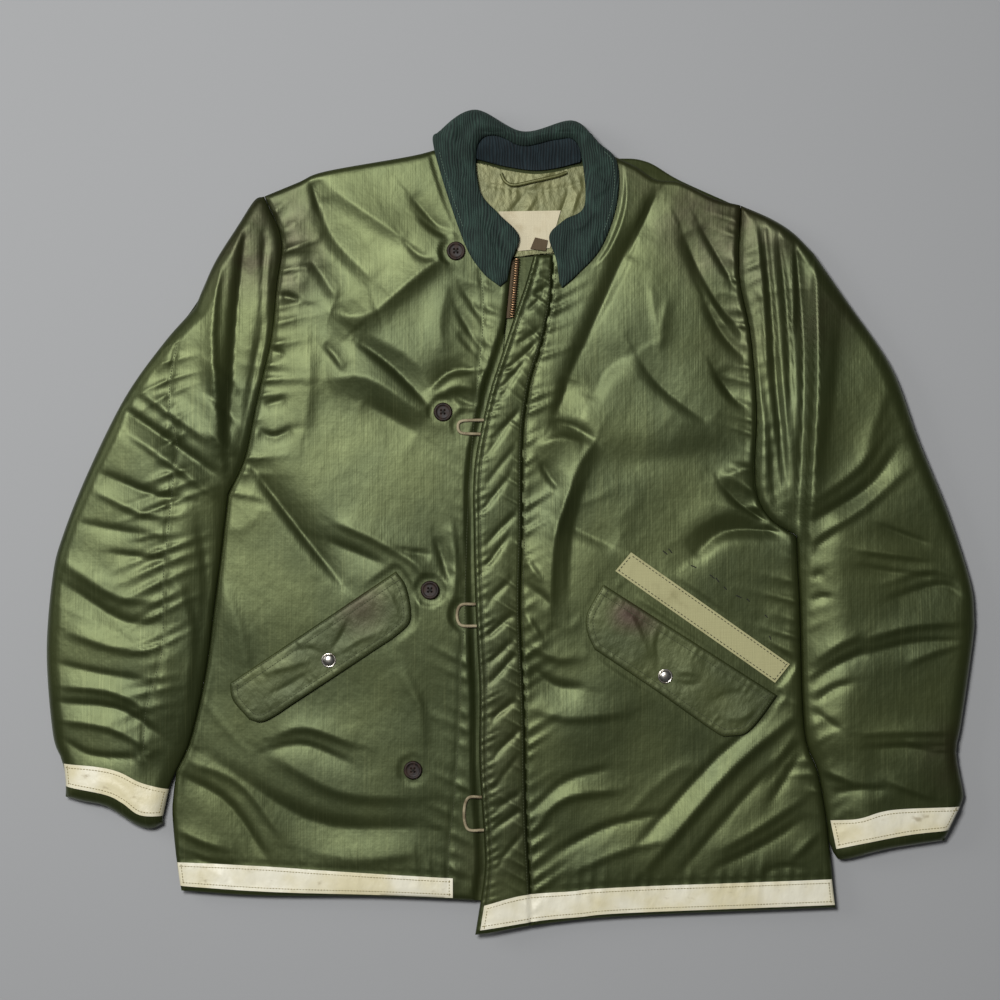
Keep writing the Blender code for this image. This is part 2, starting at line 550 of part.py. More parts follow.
def sleeve_height(grid, folds):
    """Top of a flattened sleeve: rounded along both edges, with its folds."""
    loop = rim_loop(grid)
    height = crown(grid, loop, SLEEVE_EDGE, SLEEVE_TOP, 26.0)
    height += fold_height(grid, folds) * np.clip(-outside(grid, loop) / 14, 0, 1)
    return np.maximum(height, SLEEVE_EDGE)


def sleeve_openings(grid, armhole_points, inner_col):
    """True for rim points at the cuff, and for those in the armhole on the sleeve's inner side."""
    rows, cols = grid.shape[:2]
    edge = rim(rows, cols)
    cuff = (edge[:, 0] == rows - 1) & (edge[:, 1] > 0) & (edge[:, 1] < cols - 1)
    armhole = (edge[:, 1] == inner_col) & (edge[:, 0] > 1) & (edge[:, 0] < armhole_points - 1)
    return cuff | armhole


sleeve_right_height = sleeve_height(sleeve_right, FOLDS_SLEEVE_RIGHT)
pieces["sleeve_right"] = (*flat_tube(sleeve_right, sleeve_right_height,
                                     sleeve_openings(sleeve_right, len(armhole_right), SLEEVE_COLS)), "shell_satin")
sleeve_left_height = sleeve_height(sleeve_left, FOLDS_SLEEVE_LEFT)
pieces["sleeve_left"] = (*flat_tube(sleeve_left, sleeve_left_height,
                                    sleeve_openings(sleeve_left, len(armhole_left), 0)), "shell_satin")


# Fly flap with its slanting puckers

def fly_puckers():
    """A short trough across the fly at each step down its edge, rising towards the seam."""
    whole = length(FLY_EDGE)
    marks = curve(FLY_EDGE, np.arange(60, whole - 40, PUCKER_STEP) / whole)
    return [Fold(x, y - 8, x + 24, y + 4, x + 46, y + 18, PUCKER_WIDTH, PUCKER_RISE) for x, y in marks]


fly_loop = rim_loop(fly)
fly_height = crown(fly, fly_loop, 15.0, FLY_TOP, 9.0)
fly_height += fold_height(fly, fly_puckers()) * np.clip(-outside(fly, fly_loop) / 8, 0, 1)
pieces["fly_flap"] = (*padded_panel(fly, fly_height, FLY_UNDER, 0.8), "shell_satin")


# Collar, stand, lining, label and hanging loop

def ramp(value, start, end):
    """0 before start, 1 past end, smooth between."""
    t = np.clip((value - start) / (end - start), 0, 1)
    return t * t * (3 - 2 * t)


collar_y = collar[..., 1]
collar_under = COLLAR_UNDER * (1 - ramp(collar_y, 377, 388))
collar_full = COLLAR_FALL_TOP + (COLLAR_BACK_TOP - COLLAR_FALL_TOP) * ramp(collar_y, 330, 385)
collar_reach = np.clip(-outside(collar, rim_loop(collar)) / 12, 0, 1)
collar_edge = np.where(collar_y > 388, 12.0, COLLAR_UNDER + 3.0)
collar_over = collar_edge + (collar_full - collar_edge) * np.sqrt(1 - (1 - collar_reach) ** 2)
pieces["collar"] = (*slab(collar, collar_over, collar_under), "collar_corduroy")

stand = parted(patch(curve(STAND_TOP, np.linspace(0, 1, 15)), curve(STAND_BOTTOM, np.linspace(0, 1, 15)),
                     curve([STAND_TOP[0], STAND_BOTTOM[0]], (0, 0.5, 1)),
                     curve([STAND_TOP[-1], STAND_BOTTOM[-1]], (0, 0.5, 1))), 0.6)
stand_over = 12.0 + 11.0 * ramp(stand[..., 1], 352, 382)
pieces["collar_stand"] = (*slab(stand, stand_over, BACK_TOP + LAY_GAP), "stand_cloth")

lining = parted(patch(curve(LINING_TOP_EDGE, np.linspace(0, 1, 15)),
                      curve([LINING_RIGHT[-1], LINING_LEFT[-1]], np.linspace(0, 1, 15)),
                      curve(LINING_RIGHT, np.linspace(0, 1, 9)), curve(LINING_LEFT, np.linspace(0, 1, 9))), 2.2)
pieces["neck_lining"] = (*slab(lining, LINING_TOP, BACK_TOP + LAY_GAP), "lining_satin")

label = small_patch(LABEL[:2], [LABEL[3], LABEL[2]], [LABEL[0], LABEL[3]], [LABEL[1], LABEL[2]], 3, 4)
label_under = LINING_TOP + LAY_GAP
pieces["label"] = (*slab(label, label_under + LABEL_THICK, label_under), "label_cloth")

hanger_way = curve([(-9, 346), (2, 338), (24, 341), (56, 346)], np.linspace(0, 1, 13))
hanger_rise = LINING_TOP + LAY_GAP + CORD_RADIUS + 1.6 * np.sin(np.linspace(0, np.pi, 13))
pieces["hanger_loop"] = (*cord(np.column_stack([hanger_way, hanger_rise]), CORD_RADIUS), "stand_cloth")


# Zip tapes, where they show beside the fly

zip_right = small_patch([(3, 258), (9, 258)], [(-4, 204), (1, 204)], [(3, 258), (-1, 222), (-4, 204)],
                        [(9, 258), (5, 222), (1, 204)], 5, 2)
pieces["zip_tape_right"] = (*slab(zip_right, BACK_TOP + LAY_GAP + 3, BACK_TOP + LAY_GAP), "zip_tape_cloth")
zip_left = small_patch([(25, 285), (38, 282)], [(20, 273), (36, 271)], [(25, 285), (20, 273)],
                       [(38, 282), (36, 271)], 2, 2)
zip_left_under = label_under + LABEL_THICK + LAY_GAP
pieces["zip_tape_left"] = (*slab(zip_left, zip_left_under + TAPE_THICK, zip_left_under), "zip_tape_cloth")


# Pocket flaps with their snap caps

def flap_height(grid, snap):
    """Top of a pocket flap: a low crown, pressed level under its snap cap."""
    height = crown(grid, rim_loop(grid), FLAP_UNDER + 2.4, FLAP_TOP, 9.0)
    return capped(grid, height, [(circle(snap, SNAP_RADIUS + 3), FLAP_TOP, 0.5)])


for name, grid, snap in (("pocket_flap_right", flap_right, SNAPS["snap_right"]),
                         ("pocket_flap_left", flap_left, SNAPS["snap_left"])):
    pieces[name] = (*padded_panel(grid, flap_height(grid, snap), FLAP_UNDER, 0.8), "shell_satin")
for name, centre in SNAPS.items():
    profile = [(SNAP_RADIUS, 0), (SNAP_RADIUS, 0.8), (SNAP_RADIUS * 0.7, SNAP_RISE * 0.8), (2.0, SNAP_RISE)]
    pieces[name] = (*disc(centre, FLAP_TOP + LAY_GAP, profile, 20), "snap_metal")


# Tapes sewn round the hem and the cuffs, made from the panels' own points

def tape(grid, height, first, last, end_rows):
    """A tape on the rows of a panel that end_rows names, between two columns, moved out by the lay gap."""
    rows = slice(grid.shape[0] - 1 - end_rows, grid.shape[0] - 1)
    cols = slice(first, last)
    under = height[rows, cols] + LAY_GAP
    return grid[rows, cols], under


def tape_piece(grid, under):
    """The tape's wall over its underside."""
    return (*slab(grid, under + TAPE_THICK, under), "reflective_tape")


TAPE_COUNT = len(TAPE_ROWS)
fly_first = int(np.argmax(front_right[-2, :, 0] > -47))
pieces["hem_tape_right"] = tape_piece(*tape(front_right, height_right, 1, fly_first, TAPE_COUNT))
fly_tape, fly_tape_under = tape(fly, fly_height, 1, fly.shape[1], TAPE_COUNT)
left_tape, left_tape_under = tape(front_left, height_left, 0, front_left.shape[1] - 1, TAPE_COUNT)
pieces["hem_tape_left"] = tape_piece(np.hstack([fly_tape, left_tape]),
                                     np.hstack([fly_tape_under, left_tape_under]))
pieces["cuff_tape_right"] = tape_piece(*tape(sleeve_right, sleeve_right_height, 1, SLEEVE_COLS, TAPE_COUNT))
pieces["cuff_tape_left"] = tape_piece(*tape(sleeve_left, sleeve_left_height, 1, SLEEVE_COLS, TAPE_COUNT))
name_under = FRONT_TOP + LAY_GAP
pieces["name_tape"] = (*slab(name_tape, name_under + TAPE_THICK, name_under), "name_tape_cloth")


# Buttons and the cord loops at the fly's edge

for number, centre in enumerate(BUTTONS, 1):
    profile = [(BUTTON_RADIUS - 1.5, 0), (BUTTON_RADIUS, 1.4), (BUTTON_RADIUS, BUTTON_THICK - 0.6),
               (BUTTON_RADIUS - 1.2, BUTTON_THICK), (BUTTON_RADIUS - 3.0, BUTTON_THICK - 0.8)]
    pieces[f"button_{number}"] = (*disc(centre, FRONT_TOP + LAY_GAP, profile, 24), "button_plastic")

for number, (y_start, y_end, far) in enumerate(LOOPS, 1):
    edge_x = np.interp([y_start, y_end], *zip(*sorted((y, x) for x, y in FLY_EDGE))) - 1.0
    middle = (y_start + y_end) / 2
    way = curve([(edge_x[0], y_start), (far + 4, y_start - 1), (far, middle), (far + 4, y_end + 1),
                 (edge_x[1], y_end)], np.linspace(0, 1, 15))
    height = np.full(15, 12.4 + LAY_GAP + CORD_RADIUS)
    pieces[f"loop_{number}"] = (*cord(np.column_stack([way, height]), CORD_RADIUS, 6), "loop_cord")


# Objects, with the jacket's middle moved over the origin

def linear(value):
    """A 0 to 255 sRGB value as linear light."""
    v = value / 255
    return v / 12.92 if v <= 0.04045 else ((v + 0.055) / 1.055) ** 2.4


def make_material(name, red, green, blue, roughness, metallic):
    """A plain finish in the piece's colour."""
    material = bpy.data.materials.new(name)
    material.use_nodes = True
    shader = material.node_tree.nodes["Principled BSDF"]
    shader.inputs["Base Color"].default_value = (linear(red), linear(green), linear(blue), 1)
    shader.inputs["Roughness"].default_value = roughness
    shader.inputs["Metallic"].default_value = metallic
    return material


def make_object(name, points, faces, material):
    """One piece as an object, its faces turned out and its round edges shaded smooth."""
    mesh = bpy.data.meshes.new(name)
    mesh.from_pydata((points * MM).tolist(), [], faces)
    work = bmesh.new()
    work.from_mesh(mesh)
    bmesh.ops.recalc_face_normals(work, faces=work.faces)
    work.to_mesh(mesh)
    work.free()
    mesh.shade_smooth()
    mesh.set_sharp_from_angle(angle=np.radians(40))
    mesh.materials.append(material)
    bpy.context.scene.collection.objects.link(bpy.data.objects.new(name, mesh))


for old in list(bpy.data.objects):
    bpy.data.objects.remove(old, do_unlink=True)

everything = np.vstack([points for points, _, _ in pieces.values()])
middle = (everything.min(0) + everything.max(0)) / 2 * (1, 1, 0)
materials = {name: make_material(name, *values) for name, values in COLOURS.items()}
for name, (points, faces, material) in pieces.items():
    make_object(name, points - middle, faces, materials[material])
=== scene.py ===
from collections import namedtuple

import bpy
import numpy as np
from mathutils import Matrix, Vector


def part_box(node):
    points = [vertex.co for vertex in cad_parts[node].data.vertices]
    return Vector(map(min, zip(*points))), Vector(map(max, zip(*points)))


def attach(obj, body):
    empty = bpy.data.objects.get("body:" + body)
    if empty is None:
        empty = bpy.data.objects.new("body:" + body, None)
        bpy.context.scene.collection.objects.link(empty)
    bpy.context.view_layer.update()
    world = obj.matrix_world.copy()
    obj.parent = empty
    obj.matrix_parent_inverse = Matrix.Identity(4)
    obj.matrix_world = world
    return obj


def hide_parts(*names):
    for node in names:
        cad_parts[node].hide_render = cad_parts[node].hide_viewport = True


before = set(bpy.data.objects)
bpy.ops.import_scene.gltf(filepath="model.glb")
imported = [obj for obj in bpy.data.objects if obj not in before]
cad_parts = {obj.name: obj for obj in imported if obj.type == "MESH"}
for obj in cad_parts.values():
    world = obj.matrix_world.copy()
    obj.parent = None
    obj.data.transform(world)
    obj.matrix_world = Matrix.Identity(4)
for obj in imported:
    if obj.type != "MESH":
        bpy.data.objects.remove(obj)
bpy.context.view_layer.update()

# Camera, floor and light. The jacket lies on a pale floor and is seen from straight above, as in the photo.
# Sizes in this script are millimetres from the jacket's middle, as a pattern drawing of it gives them:
# x to the wearer's left, y to the collar, z up. SHIFT moves the drawing onto the frame.
MM = 0.001
SNAP_LEFT = np.array([155.0, -154.0])
SHIFT = np.add(*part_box("snap_left"))[:2] / 2 / MM - SNAP_LEFT
VIEW_MIDDLE = np.array([-10.0, 22.0])
VIEW_HEIGHT = 3.0
VIEW_SPAN = 1.0
CLOTH_LEVEL = 0.015

camera_data = bpy.data.cameras.new("camera")
camera_data.lens = camera_data.sensor_width * (VIEW_HEIGHT - CLOTH_LEVEL) / VIEW_SPAN
camera = bpy.data.objects.new("camera", camera_data)
camera.location = (*((VIEW_MIDDLE + SHIFT) * MM), VIEW_HEIGHT)
bpy.context.scene.collection.objects.link(camera)
bpy.context.scene.camera = camera

world = bpy.data.worlds.new("studio")
world.use_nodes = True
world.node_tree.nodes["Background"].inputs["Color"].default_value = (0.95, 0.97, 1.0, 1)
world.node_tree.nodes["Background"].inputs["Strength"].default_value = 0.08
bpy.context.scene.world = world
bpy.context.scene.view_settings.view_transform = "Standard"


def softbox(name, place, size, power):
    """A square area light at a place in metres, turned to the jacket's middle."""
    data = bpy.data.lights.new(name, "AREA")
    data.size = size
    data.energy = power
    light = bpy.data.objects.new(name, data)
    light.location = place
    x, y, z = place
    light.rotation_euler = (np.arctan2(np.hypot(x, y), z), 0, np.arctan2(x, -y))
    bpy.context.scene.collection.objects.link(light)


softbox("window", (-0.6, 0.65, 2.8), 0.7, 62)
softbox("side", (-2.2, 0.8, 1.2), 1.2, 11)

floor_mesh = bpy.data.meshes.new("floor")
FLOOR_LEVEL = -0.0004
floor_corners = [(x, y, FLOOR_LEVEL) for x, y in ((-6, -6), (6, -6), (6, 6), (-6, 6))]
floor_mesh.from_pydata(floor_corners, [], [(0, 1, 2, 3)])
floor = bpy.data.objects.new("floor", floor_mesh)
bpy.context.scene.collection.objects.link(floor)
floor_finish = bpy.data.materials.new("pale_floor")
floor_finish.use_nodes = True
floor_finish.node_tree.nodes["Principled BSDF"].inputs["Base Color"].default_value = (0.42, 0.425, 0.43, 1)
floor_finish.node_tree.nodes["Principled BSDF"].inputs["Roughness"].default_value = 0.9
floor_mesh.materials.append(floor_finish)


# The shell cloth: a shiny olive nylon satin over padding, woven with a faint slub that runs down the panels.
# It has browned along the shoulders and the left cuff, where the "soil" attribute says.
class Wire:
    """A number in a material: a sum or product with it adds a Math node."""

    def __init__(self, finish, socket):
        self.finish = finish
        self.socket = socket

    def __add__(self, other):
        return self.finish.math("ADD", self, other)

    def __mul__(self, other):
        return self.finish.math("MULTIPLY", self, other)


class Finish:
    """A material: its Principled shader, with constant sockets set by name, and the nodes that feed it."""

    def __init__(self, name, **constants):
        self.material = bpy.data.materials.new(name)
        self.material.use_nodes = True
        self.tree = self.material.node_tree
        self.shader = self.tree.nodes["Principled BSDF"]
        for socket, value in constants.items():
            self.shader.inputs[socket.replace("_", " ")].default_value = value
        self.place = self.add("TexCoord", output="Object")

    def join(self, value, socket):
        """Link a wire to a socket, or set the socket to a plain value."""
        if isinstance(value, Wire):
            self.tree.links.new(value.socket, socket)
        else:
            socket.default_value = value

    def add(self, kind, settings=None, sockets=None, output=0):
        """Any node: its type, its settings and the values or wires of its sockets."""
        node = self.tree.nodes.new("ShaderNode" + kind)
        for name, value in (settings or {}).items():
            setattr(node, name, value)
        for key, value in (sockets or {}).items():
            self.join(value, node.inputs[key])
        return Wire(self, node.outputs[output])

    def math(self, operation, *values):
        """A Math node on wires or numbers."""
        return self.add("Math", {"operation": operation}, dict(enumerate(values)))

    def limit(self, value, low, high):
        """0 where the value is at low, 1 where it is at high, and smooth between."""
        return self.add("MapRange", {"interpolation_type": "SMOOTHSTEP"},
                        {"Value": value, "From Min": low, "From Max": high})

    def mix(self, share, first, second):
        """A colour between two colours."""
        return self.add("Mix", {"data_type": "RGBA"}, {0: share, 6: first, 7: second}, 2)

    def noise(self, steps, detail=2.0, turn=0.0):
        """Soft noise, 0 to 1, with so many steps a metre along x, y and z, turned about z."""
        spot = self.add("Mapping", {}, {"Vector": self.place, "Rotation": (0, 0, turn), "Scale": steps})
        return self.add("TexNoise", {}, {"Vector": spot, "Scale": 1.0, "Detail": detail})

    def mark(self, name):
        """The number that a piece's attribute holds at each point."""
        return self.add("Attribute", {"attribute_name": name}, output="Fac")

    def set(self, socket, value):
        """Feed one of the shader's sockets."""
        self.join(value, self.shader.inputs[socket])

    def bump(self, height, distance):
        """Raise the surface by the height, 0 to 1, times a distance in metres."""
        sockets = {"Height": height, "Distance": distance, "Strength": 1.0}
        self.set("Normal", self.add("Bump", {}, sockets, "Normal"))


def paint(red, green, blue):
    """A colour for a shader from its values on a screen, 0 to 255."""
    values = np.array([red, green, blue]) / 255
    return (*np.where(values <= 0.04045, values / 12.92, ((values + 0.055) / 1.055) ** 2.4), 1.0)


def make_shell():
    """Olive satin, dark where it turns from the light: broad shade, warp slubs and soil in its colour, and
    the weave in its bump."""
    f = Finish("shell_satin", Metallic=0.6, Sheen_Weight=0.1, Sheen_Roughness=0.4,
               Sheen_Tint=paint(130, 150, 90))
    broad = f.noise((9, 9, 9), 3.0)
    slub = f.noise((620, 14, 60), 2.0)
    weft = f.noise((26, 620, 60), 2.0, 0.1)
    colour = f.mix(f.limit(broad, 0.35, 0.7), paint(57, 65, 33), paint(69, 76, 40))
    colour = f.mix(f.limit(slub, 0.5, 0.8) * 0.3, colour, paint(96, 102, 64))
    colour = f.mix(f.limit(weft, 0.55, 0.85) * 0.06, colour, paint(48, 55, 29))
    patchy = f.limit(f.noise((38, 38, 38), 4.0), 0.3, 0.7) * 0.6 + 0.4
    colour = f.mix(f.mark("soil") * patchy, colour, paint(50, 43, 25))
    f.set("Base Color", colour)
    f.set("Roughness", f.noise((40, 40, 40), 3.0) * 0.08 + 0.36)
    f.bump(f.noise((60, 48, 40), 3.0, 0.5) * 0.6 + slub * 0.10 + weft * 0.02, 0.0009)
    return f.material


shell = make_shell()


# The outlines that the back shares with the fronts and sleeves at its seams: rows of x, y.
ARMHOLE_RIGHT = [(-246, 326), (-229, 283), (-234, 235), (-239, 185), (-250, 137), (-256, 110), (-266, 63),
                 (-282, 28)]
SIDE_RIGHT = [(-282, 28), (-288, -24), (-296, -86), (-305, -153), (-320, -218), (-334, -249)]
SIDE_RIGHT_LOW = [(-334, -249), (-337, -272), (-338, -294), (-334, -337), (-329, -369)]
ARMHOLE_LEFT = [(231, 317), (229, 249), (240, 193), (245, 143), (247, 103), (245, 58), (248, 25), (262, 2),
                (287, -14)]
SIDE_LEFT = [(287, -14), (288, -45), (290, -78), (291, -118), (293, -185), (297, -222), (308, -250),
             (316, -294), (319, -320)]
SIDE_LEFT_LOW = [(319, -320), (322, -345), (326, -386)]

# The back panel, the lowest layer: padded satin, cut in one piece and sewn to the fronts at the shoulders and
# sides. Only its edges show, and a flat strip of it past the left shoulder's seam.
SEAM_GAP = 0.4          # between two pieces that are sewn together
LAY_GAP = 0.35          # between a piece and what it lies on
BACK_TOP = 7.0
BACK_HEM = [(-329, -369), (-251, -373), (-30, -377), (110, -391), (326, -385)]
BACK_SHOULDERS = [(-246, 326), (-185, 350), (-101, 365), (-73, 371), (15, 363), (102, 366), (137, 363),
                  (171, 344), (231, 317)]


def curve(points, stops):
    """A smooth curve through the points (Catmull-Rom), read at stops from 0 to 1 of its length."""
    p = np.asarray(points, float)
    p = np.vstack([2 * p[0] - p[1], p, 2 * p[-1] - p[-2]])
    t = np.linspace(0, 1, 24, endpoint=False)[:, None]
    spans = []
    for a, b, c, d in zip(p, p[1:], p[2:], p[3:]):
        spans.append(0.5 * (2 * b + (c - a) * t + (2 * a - 5 * b + 4 * c - d) * t ** 2
                            + (3 * b - a - 3 * c + d) * t ** 3))
    line = np.vstack(spans + [p[-2:-1]])
    reach = np.concatenate([[0], np.cumsum(np.hypot(*np.diff(line, axis=0).T))])
    want = np.asarray(stops) * reach[-1]
    return np.column_stack([np.interp(want, reach, line[:, k]) for k in (0, 1)])


def length(points):
    """Length of the smooth curve through the points."""
    return np.hypot(*np.diff(curve(points, np.linspace(0, 1, 200)), axis=0).T).sum()


def even(points, step=3.0):
    """The smooth curve through the points, read at about every step."""
    return curve(points, np.linspace(0, 1, int(round(length(points) / step)) + 1))


def side(*parts):
    """One side of a panel from curves that follow each other."""
    return np.vstack([parts[0]] + [p[1:] for p in parts[1:]])


def patch(top, bottom, left, right):
    """Grid of points between four sides: each point blends its two side points and its top and bottom ones."""
    def share(line):
        reach = np.concatenate([[0], np.cumsum(np.hypot(*np.diff(line, axis=0).T))])
        return reach / reach[-1]
    u = ((share(top) + share(bottom)) / 2)[None, :, None]
    v = ((share(left) + share(right)) / 2)[:, None, None]
    corners = ((1 - u) * (1 - v) * top[0] + u * (1 - v) * top[-1]
               + (1 - u) * v * bottom[0] + u * v * bottom[-1])
    return (1 - v) * top[None] + v * bottom[None] + (1 - u) * left[:, None] + u * right[:, None] - corners


def rim(rows, cols):
    """Row and column of each point round a grid, anticlockwise seen from above."""
    left = [(i, 0) for i in range(rows)]
    bottom = [(rows - 1, j) for j in range(1, cols)]
    right = [(i, cols - 1) for i in range(rows - 2, -1, -1)]
    top = [(0, j) for j in range(cols - 2, 0, -1)]
    return np.array(left + bottom + right + top)


def inset(loop, amount):
    """A closed anticlockwise loop moved inwards by an amount, which may differ from point to point."""
    ahead = np.roll(loop, -1, axis=0) - loop
    ahead /= np.maximum(np.hypot(*ahead.T), 1e-9)[:, None]
    normal = np.column_stack([-ahead[:, 1], ahead[:, 0]])
    before = np.roll(normal, 1, axis=0)
    share = np.maximum(1 + (normal * before).sum(1), 0.6)
    return loop + (normal + before) / share[:, None] * np.broadcast_to(amount, len(loop))[:, None]


def rim_loop(grid, step=1):
    """The rim points of a grid as a closed loop, each step-th of them."""
    edge = rim(*grid.shape[:2])
    return grid[edge[:, 0], edge[:, 1]][::step]


def parted(grid, gap=SEAM_GAP / 2):
    """The grid with its rim moved in, so that half the seam's gap lies on each side."""
    edge = rim(*grid.shape[:2])
    grid = grid.copy()
    grid[edge[:, 0], edge[:, 1]] = inset(grid[edge[:, 0], edge[:, 1]], gap)
    return grid


def on_line(points, line):
    """For each point, how far it is to the left of an open line, and how far along the line its nearest
    point is, both in millimetres."""
    a, b = line[:-1], line[1:]
    run = b - a
    span = np.maximum(np.hypot(*run.T), 1e-9)
    offset = points[..., None, :] - a
    t = np.clip((offset * run).sum(-1) / span ** 2, 0, 1)
    apart = offset - t[..., None] * run
    far = np.hypot(apart[..., 0], apart[..., 1])
    nearest = far.argmin(-1)[..., None]

    def pick(values):
        return np.take_along_axis(values, nearest, -1)[..., 0]
    turned = run[:, 0] * apart[..., 1] - run[:, 1] * apart[..., 0]
    start = np.concatenate([[0], np.cumsum(span)[:-1]])
    return pick(far) * np.where(pick(turned) < 0, -1, 1), pick(start + t * span)


def outside(points, loop):
    """Distance from each point to a closed loop, below 0 inside it."""
    far = abs(on_line(points, np.vstack([loop, loop[:1]]))[0])
    x, y = points[..., 0, None], points[..., 1, None]
    x0, y0 = loop.T
    x1, y1 = np.roll(loop, -1, axis=0).T
    crosses = ((y0 > y) != (y1 > y)) & (x < (x1 - x0) * (y - y0) / np.where(y1 == y0, 1e-9, y1 - y0) + x0)
    return np.where(crosses.sum(-1) % 2 == 1, -far, far)


def tile(rows, cols, first=0):
    """Quads of a grid of points, facing up, from the number of its first point."""
    n = first + np.arange(rows * cols).reshape(rows, cols)
    corners = (n[:-1, :-1], n[1:, :-1], n[1:, 1:], n[:-1, 1:])
    return np.column_stack([corner.ravel() for corner in corners]).tolist()


def ring_faces(upper, lower):
    """Quads from one ring of point numbers down to another, facing out."""
    return [(upper[k], lower[k], lower[(k + 1) % len(lower)], upper[(k + 1) % len(upper)])
            for k in range(len(upper))]


def wall(grid, over, under, edge_ring=0.5):
    """A closed wall: its top at the heights over, a rounded edge, and its underside at the heights under."""
    rows, cols = grid.shape[:2]
    over, under = (np.broadcast_to(h, (rows, cols)) for h in (over, under))
    edge = rim(rows, cols)
    loop = grid[edge[:, 0], edge[:, 1]]
    high, low = over[edge[:, 0], edge[:, 1]], under[edge[:, 0], edge[:, 1]]
    count = rows * cols
    inner = grid.copy()
    inner[edge[:, 0], edge[:, 1]] = inset(loop, edge_ring)
    points = np.vstack([np.dstack([grid, over]).reshape(-1, 3), np.dstack([inner, under]).reshape(-1, 3),
                        np.column_stack([loop, low + (high - low) * 0.35])])
    upper = (edge[:, 0] * cols + edge[:, 1]).tolist()
    lower = [n + count for n in upper]
    middle = [2 * count + n for n in range(len(edge))]
    base = [tuple(reversed(face)) for face in tile(rows, cols, count)]
    return points, tile(rows, cols) + base + ring_faces(upper, middle) + ring_faces(middle, lower)


def padded_panel(grid, over, under, tuck=2.5):
    """A padded panel: its top at the heights over, and an edge that rounds down to a flat underside."""
    rows, cols = over.shape
    edge = rim(rows, cols)
    loop = grid[edge[:, 0], edge[:, 1]]
    high = over[edge[:, 0], edge[:, 1]]
    rings = [(inset(loop, tuck * inward), under + (high - under) * share)
             for inward, share in ((0, 0.6), (0.25, 0.22), (1, 0))]
    points = np.vstack([np.dstack([grid, over]).reshape(-1, 3)] + [np.column_stack([xy, z]) for xy, z in rings])
    faces = tile(rows, cols)
    upper = (edge[:, 0] * cols + edge[:, 1]).tolist()
    for k in range(len(rings)):
        lower = list(range(rows * cols + k * len(edge), rows * cols + (k + 1) * len(edge)))
        faces += ring_faces(upper, lower)
        upper = lower
    return points, faces + [tuple(reversed(upper))]


def make_piece(name, shape, finish, nodes=(), marks=None):
    """A piece from its points in millimetres and its faces, riding on the jacket in place of CAD nodes."""
    points, faces = shape
    mesh = bpy.data.meshes.new(name)
    world_points = (points + (*SHIFT, 0)) * MM
    mesh.from_pydata(world_points.tolist(), [], faces)
    for mark, values in (marks or {}).items():
        padded = np.zeros(len(points))
        padded[:values.size] = values.ravel()
        mesh.attributes.new(mark, "FLOAT", "POINT").data.foreach_set("value", padded)
    mesh.shade_smooth()
    mesh.set_sharp_from_angle(angle=np.radians(70))
    mesh.materials.append(finish)
    piece = bpy.data.objects.new(name, mesh)
    bpy.context.scene.collection.objects.link(piece)
    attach(piece, "root")
    if nodes:
        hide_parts(*nodes)
    return piece


back_right_side = side(even(ARMHOLE_RIGHT), even(SIDE_RIGHT), even(SIDE_RIGHT_LOW))[1:-1]
back_left_side = side(even(ARMHOLE_LEFT), even(SIDE_LEFT), even(SIDE_LEFT_LOW))[::-1][1:-1]
back_loop = inset(np.vstack([back_right_side, even(BACK_HEM), back_left_side, even(BACK_SHOULDERS)[::-1]]), 1.2)


def flat_pad(loop, over, under, tuck):
    """A flat padded panel inside a loop, with a rounded edge."""
    rings = [(inset(loop, tuck), under), (inset(loop, 0.3 * tuck), under + (over - under) * 0.15),
             (loop, under + (over - under) * 0.45), (inset(loop, 0.2 * tuck), under + (over - under) * 0.85),
             (inset(loop, 0.8 * tuck), over)]
    count = len(loop)
    numbers = [[count * k + n for n in range(count)] for k in range(len(rings))]
    faces = [tuple(reversed(numbers[0])), tuple(numbers[-1])]
    for low, high in zip(numbers, numbers[1:]):
        faces += ring_faces(high, low)
    return np.vstack([np.column_stack([xy, np.full(count, z)]) for xy, z in rings]), faces


back = make_piece("back_panel", flat_pad(back_loop, BACK_TOP, 0.0, 3.0), shell, ["back"])


# The two fronts: padded satin, sewn at the shoulders, armholes and sides. Their folds are listed in rows: a row
# gives three points along a fold, its width to the left and right of that line, its rise (below 0 for a
# trough) and how sharp its line is.
Fold = namedtuple("Fold", "x0 y0 x1 y1 x2 y2 left right rise sharp")
FRONT_UNDER = 7.35
FRONT_TOP = 15.3
FRONT_EDGE = 12.6
HEM_RIGHT = [(-329, -369), (-251, -374), (-132, -375), (-30, -379), (-8, -380)]
SHOULDER_RIGHT = [(-246, 326), (-212, 340), (-185, 351), (-101, 366), (-73, 373)]
NECK_RIGHT = [(-73, 373), (-63, 357), (-40, 322), (-12, 288), (2, 260)]
INNER_RIGHT = [(2, 260), (-2, 222), (-7, 172), (-14, 102), (-17, 22), (-16, -78), (-13, -178), (-10, -278),
               (-8, -380)]
HEM_LEFT = [(20, -404), (110, -395), (326, -386)]
SHOULDER_LEFT = [(102, 367), (126, 356), (146, 343), (171, 340), (204, 324), (231, 317)]
NECK_LEFT = [(102, 367), (90, 332), (65, 292), (43, 267)]
FLY_SEAM = [(43, 267), (41, 223), (36, 197), (30, 172), (21, 145), (17, 124), (13, 92), (12, 50), (12, -3),
            (10, -90), (14, -182), (16, -289), (20, -369), (20, -404)]
FLY_TOP_EDGE = [(24, 268), (43, 267)]
FLY_EDGE = [(24, 268), (15, 237), (7, 214), (-2, 187), (-12, 157), (-21, 128), (-33, 75), (-37, 40), (-37, 2),
            (-35, -82), (-31, -166), (-31, -242), (-26, -321), (-26, -353), (-35, -413)]
FLY_BOTTOM = [(-35, -413), (-23, -412), (20, -404)]
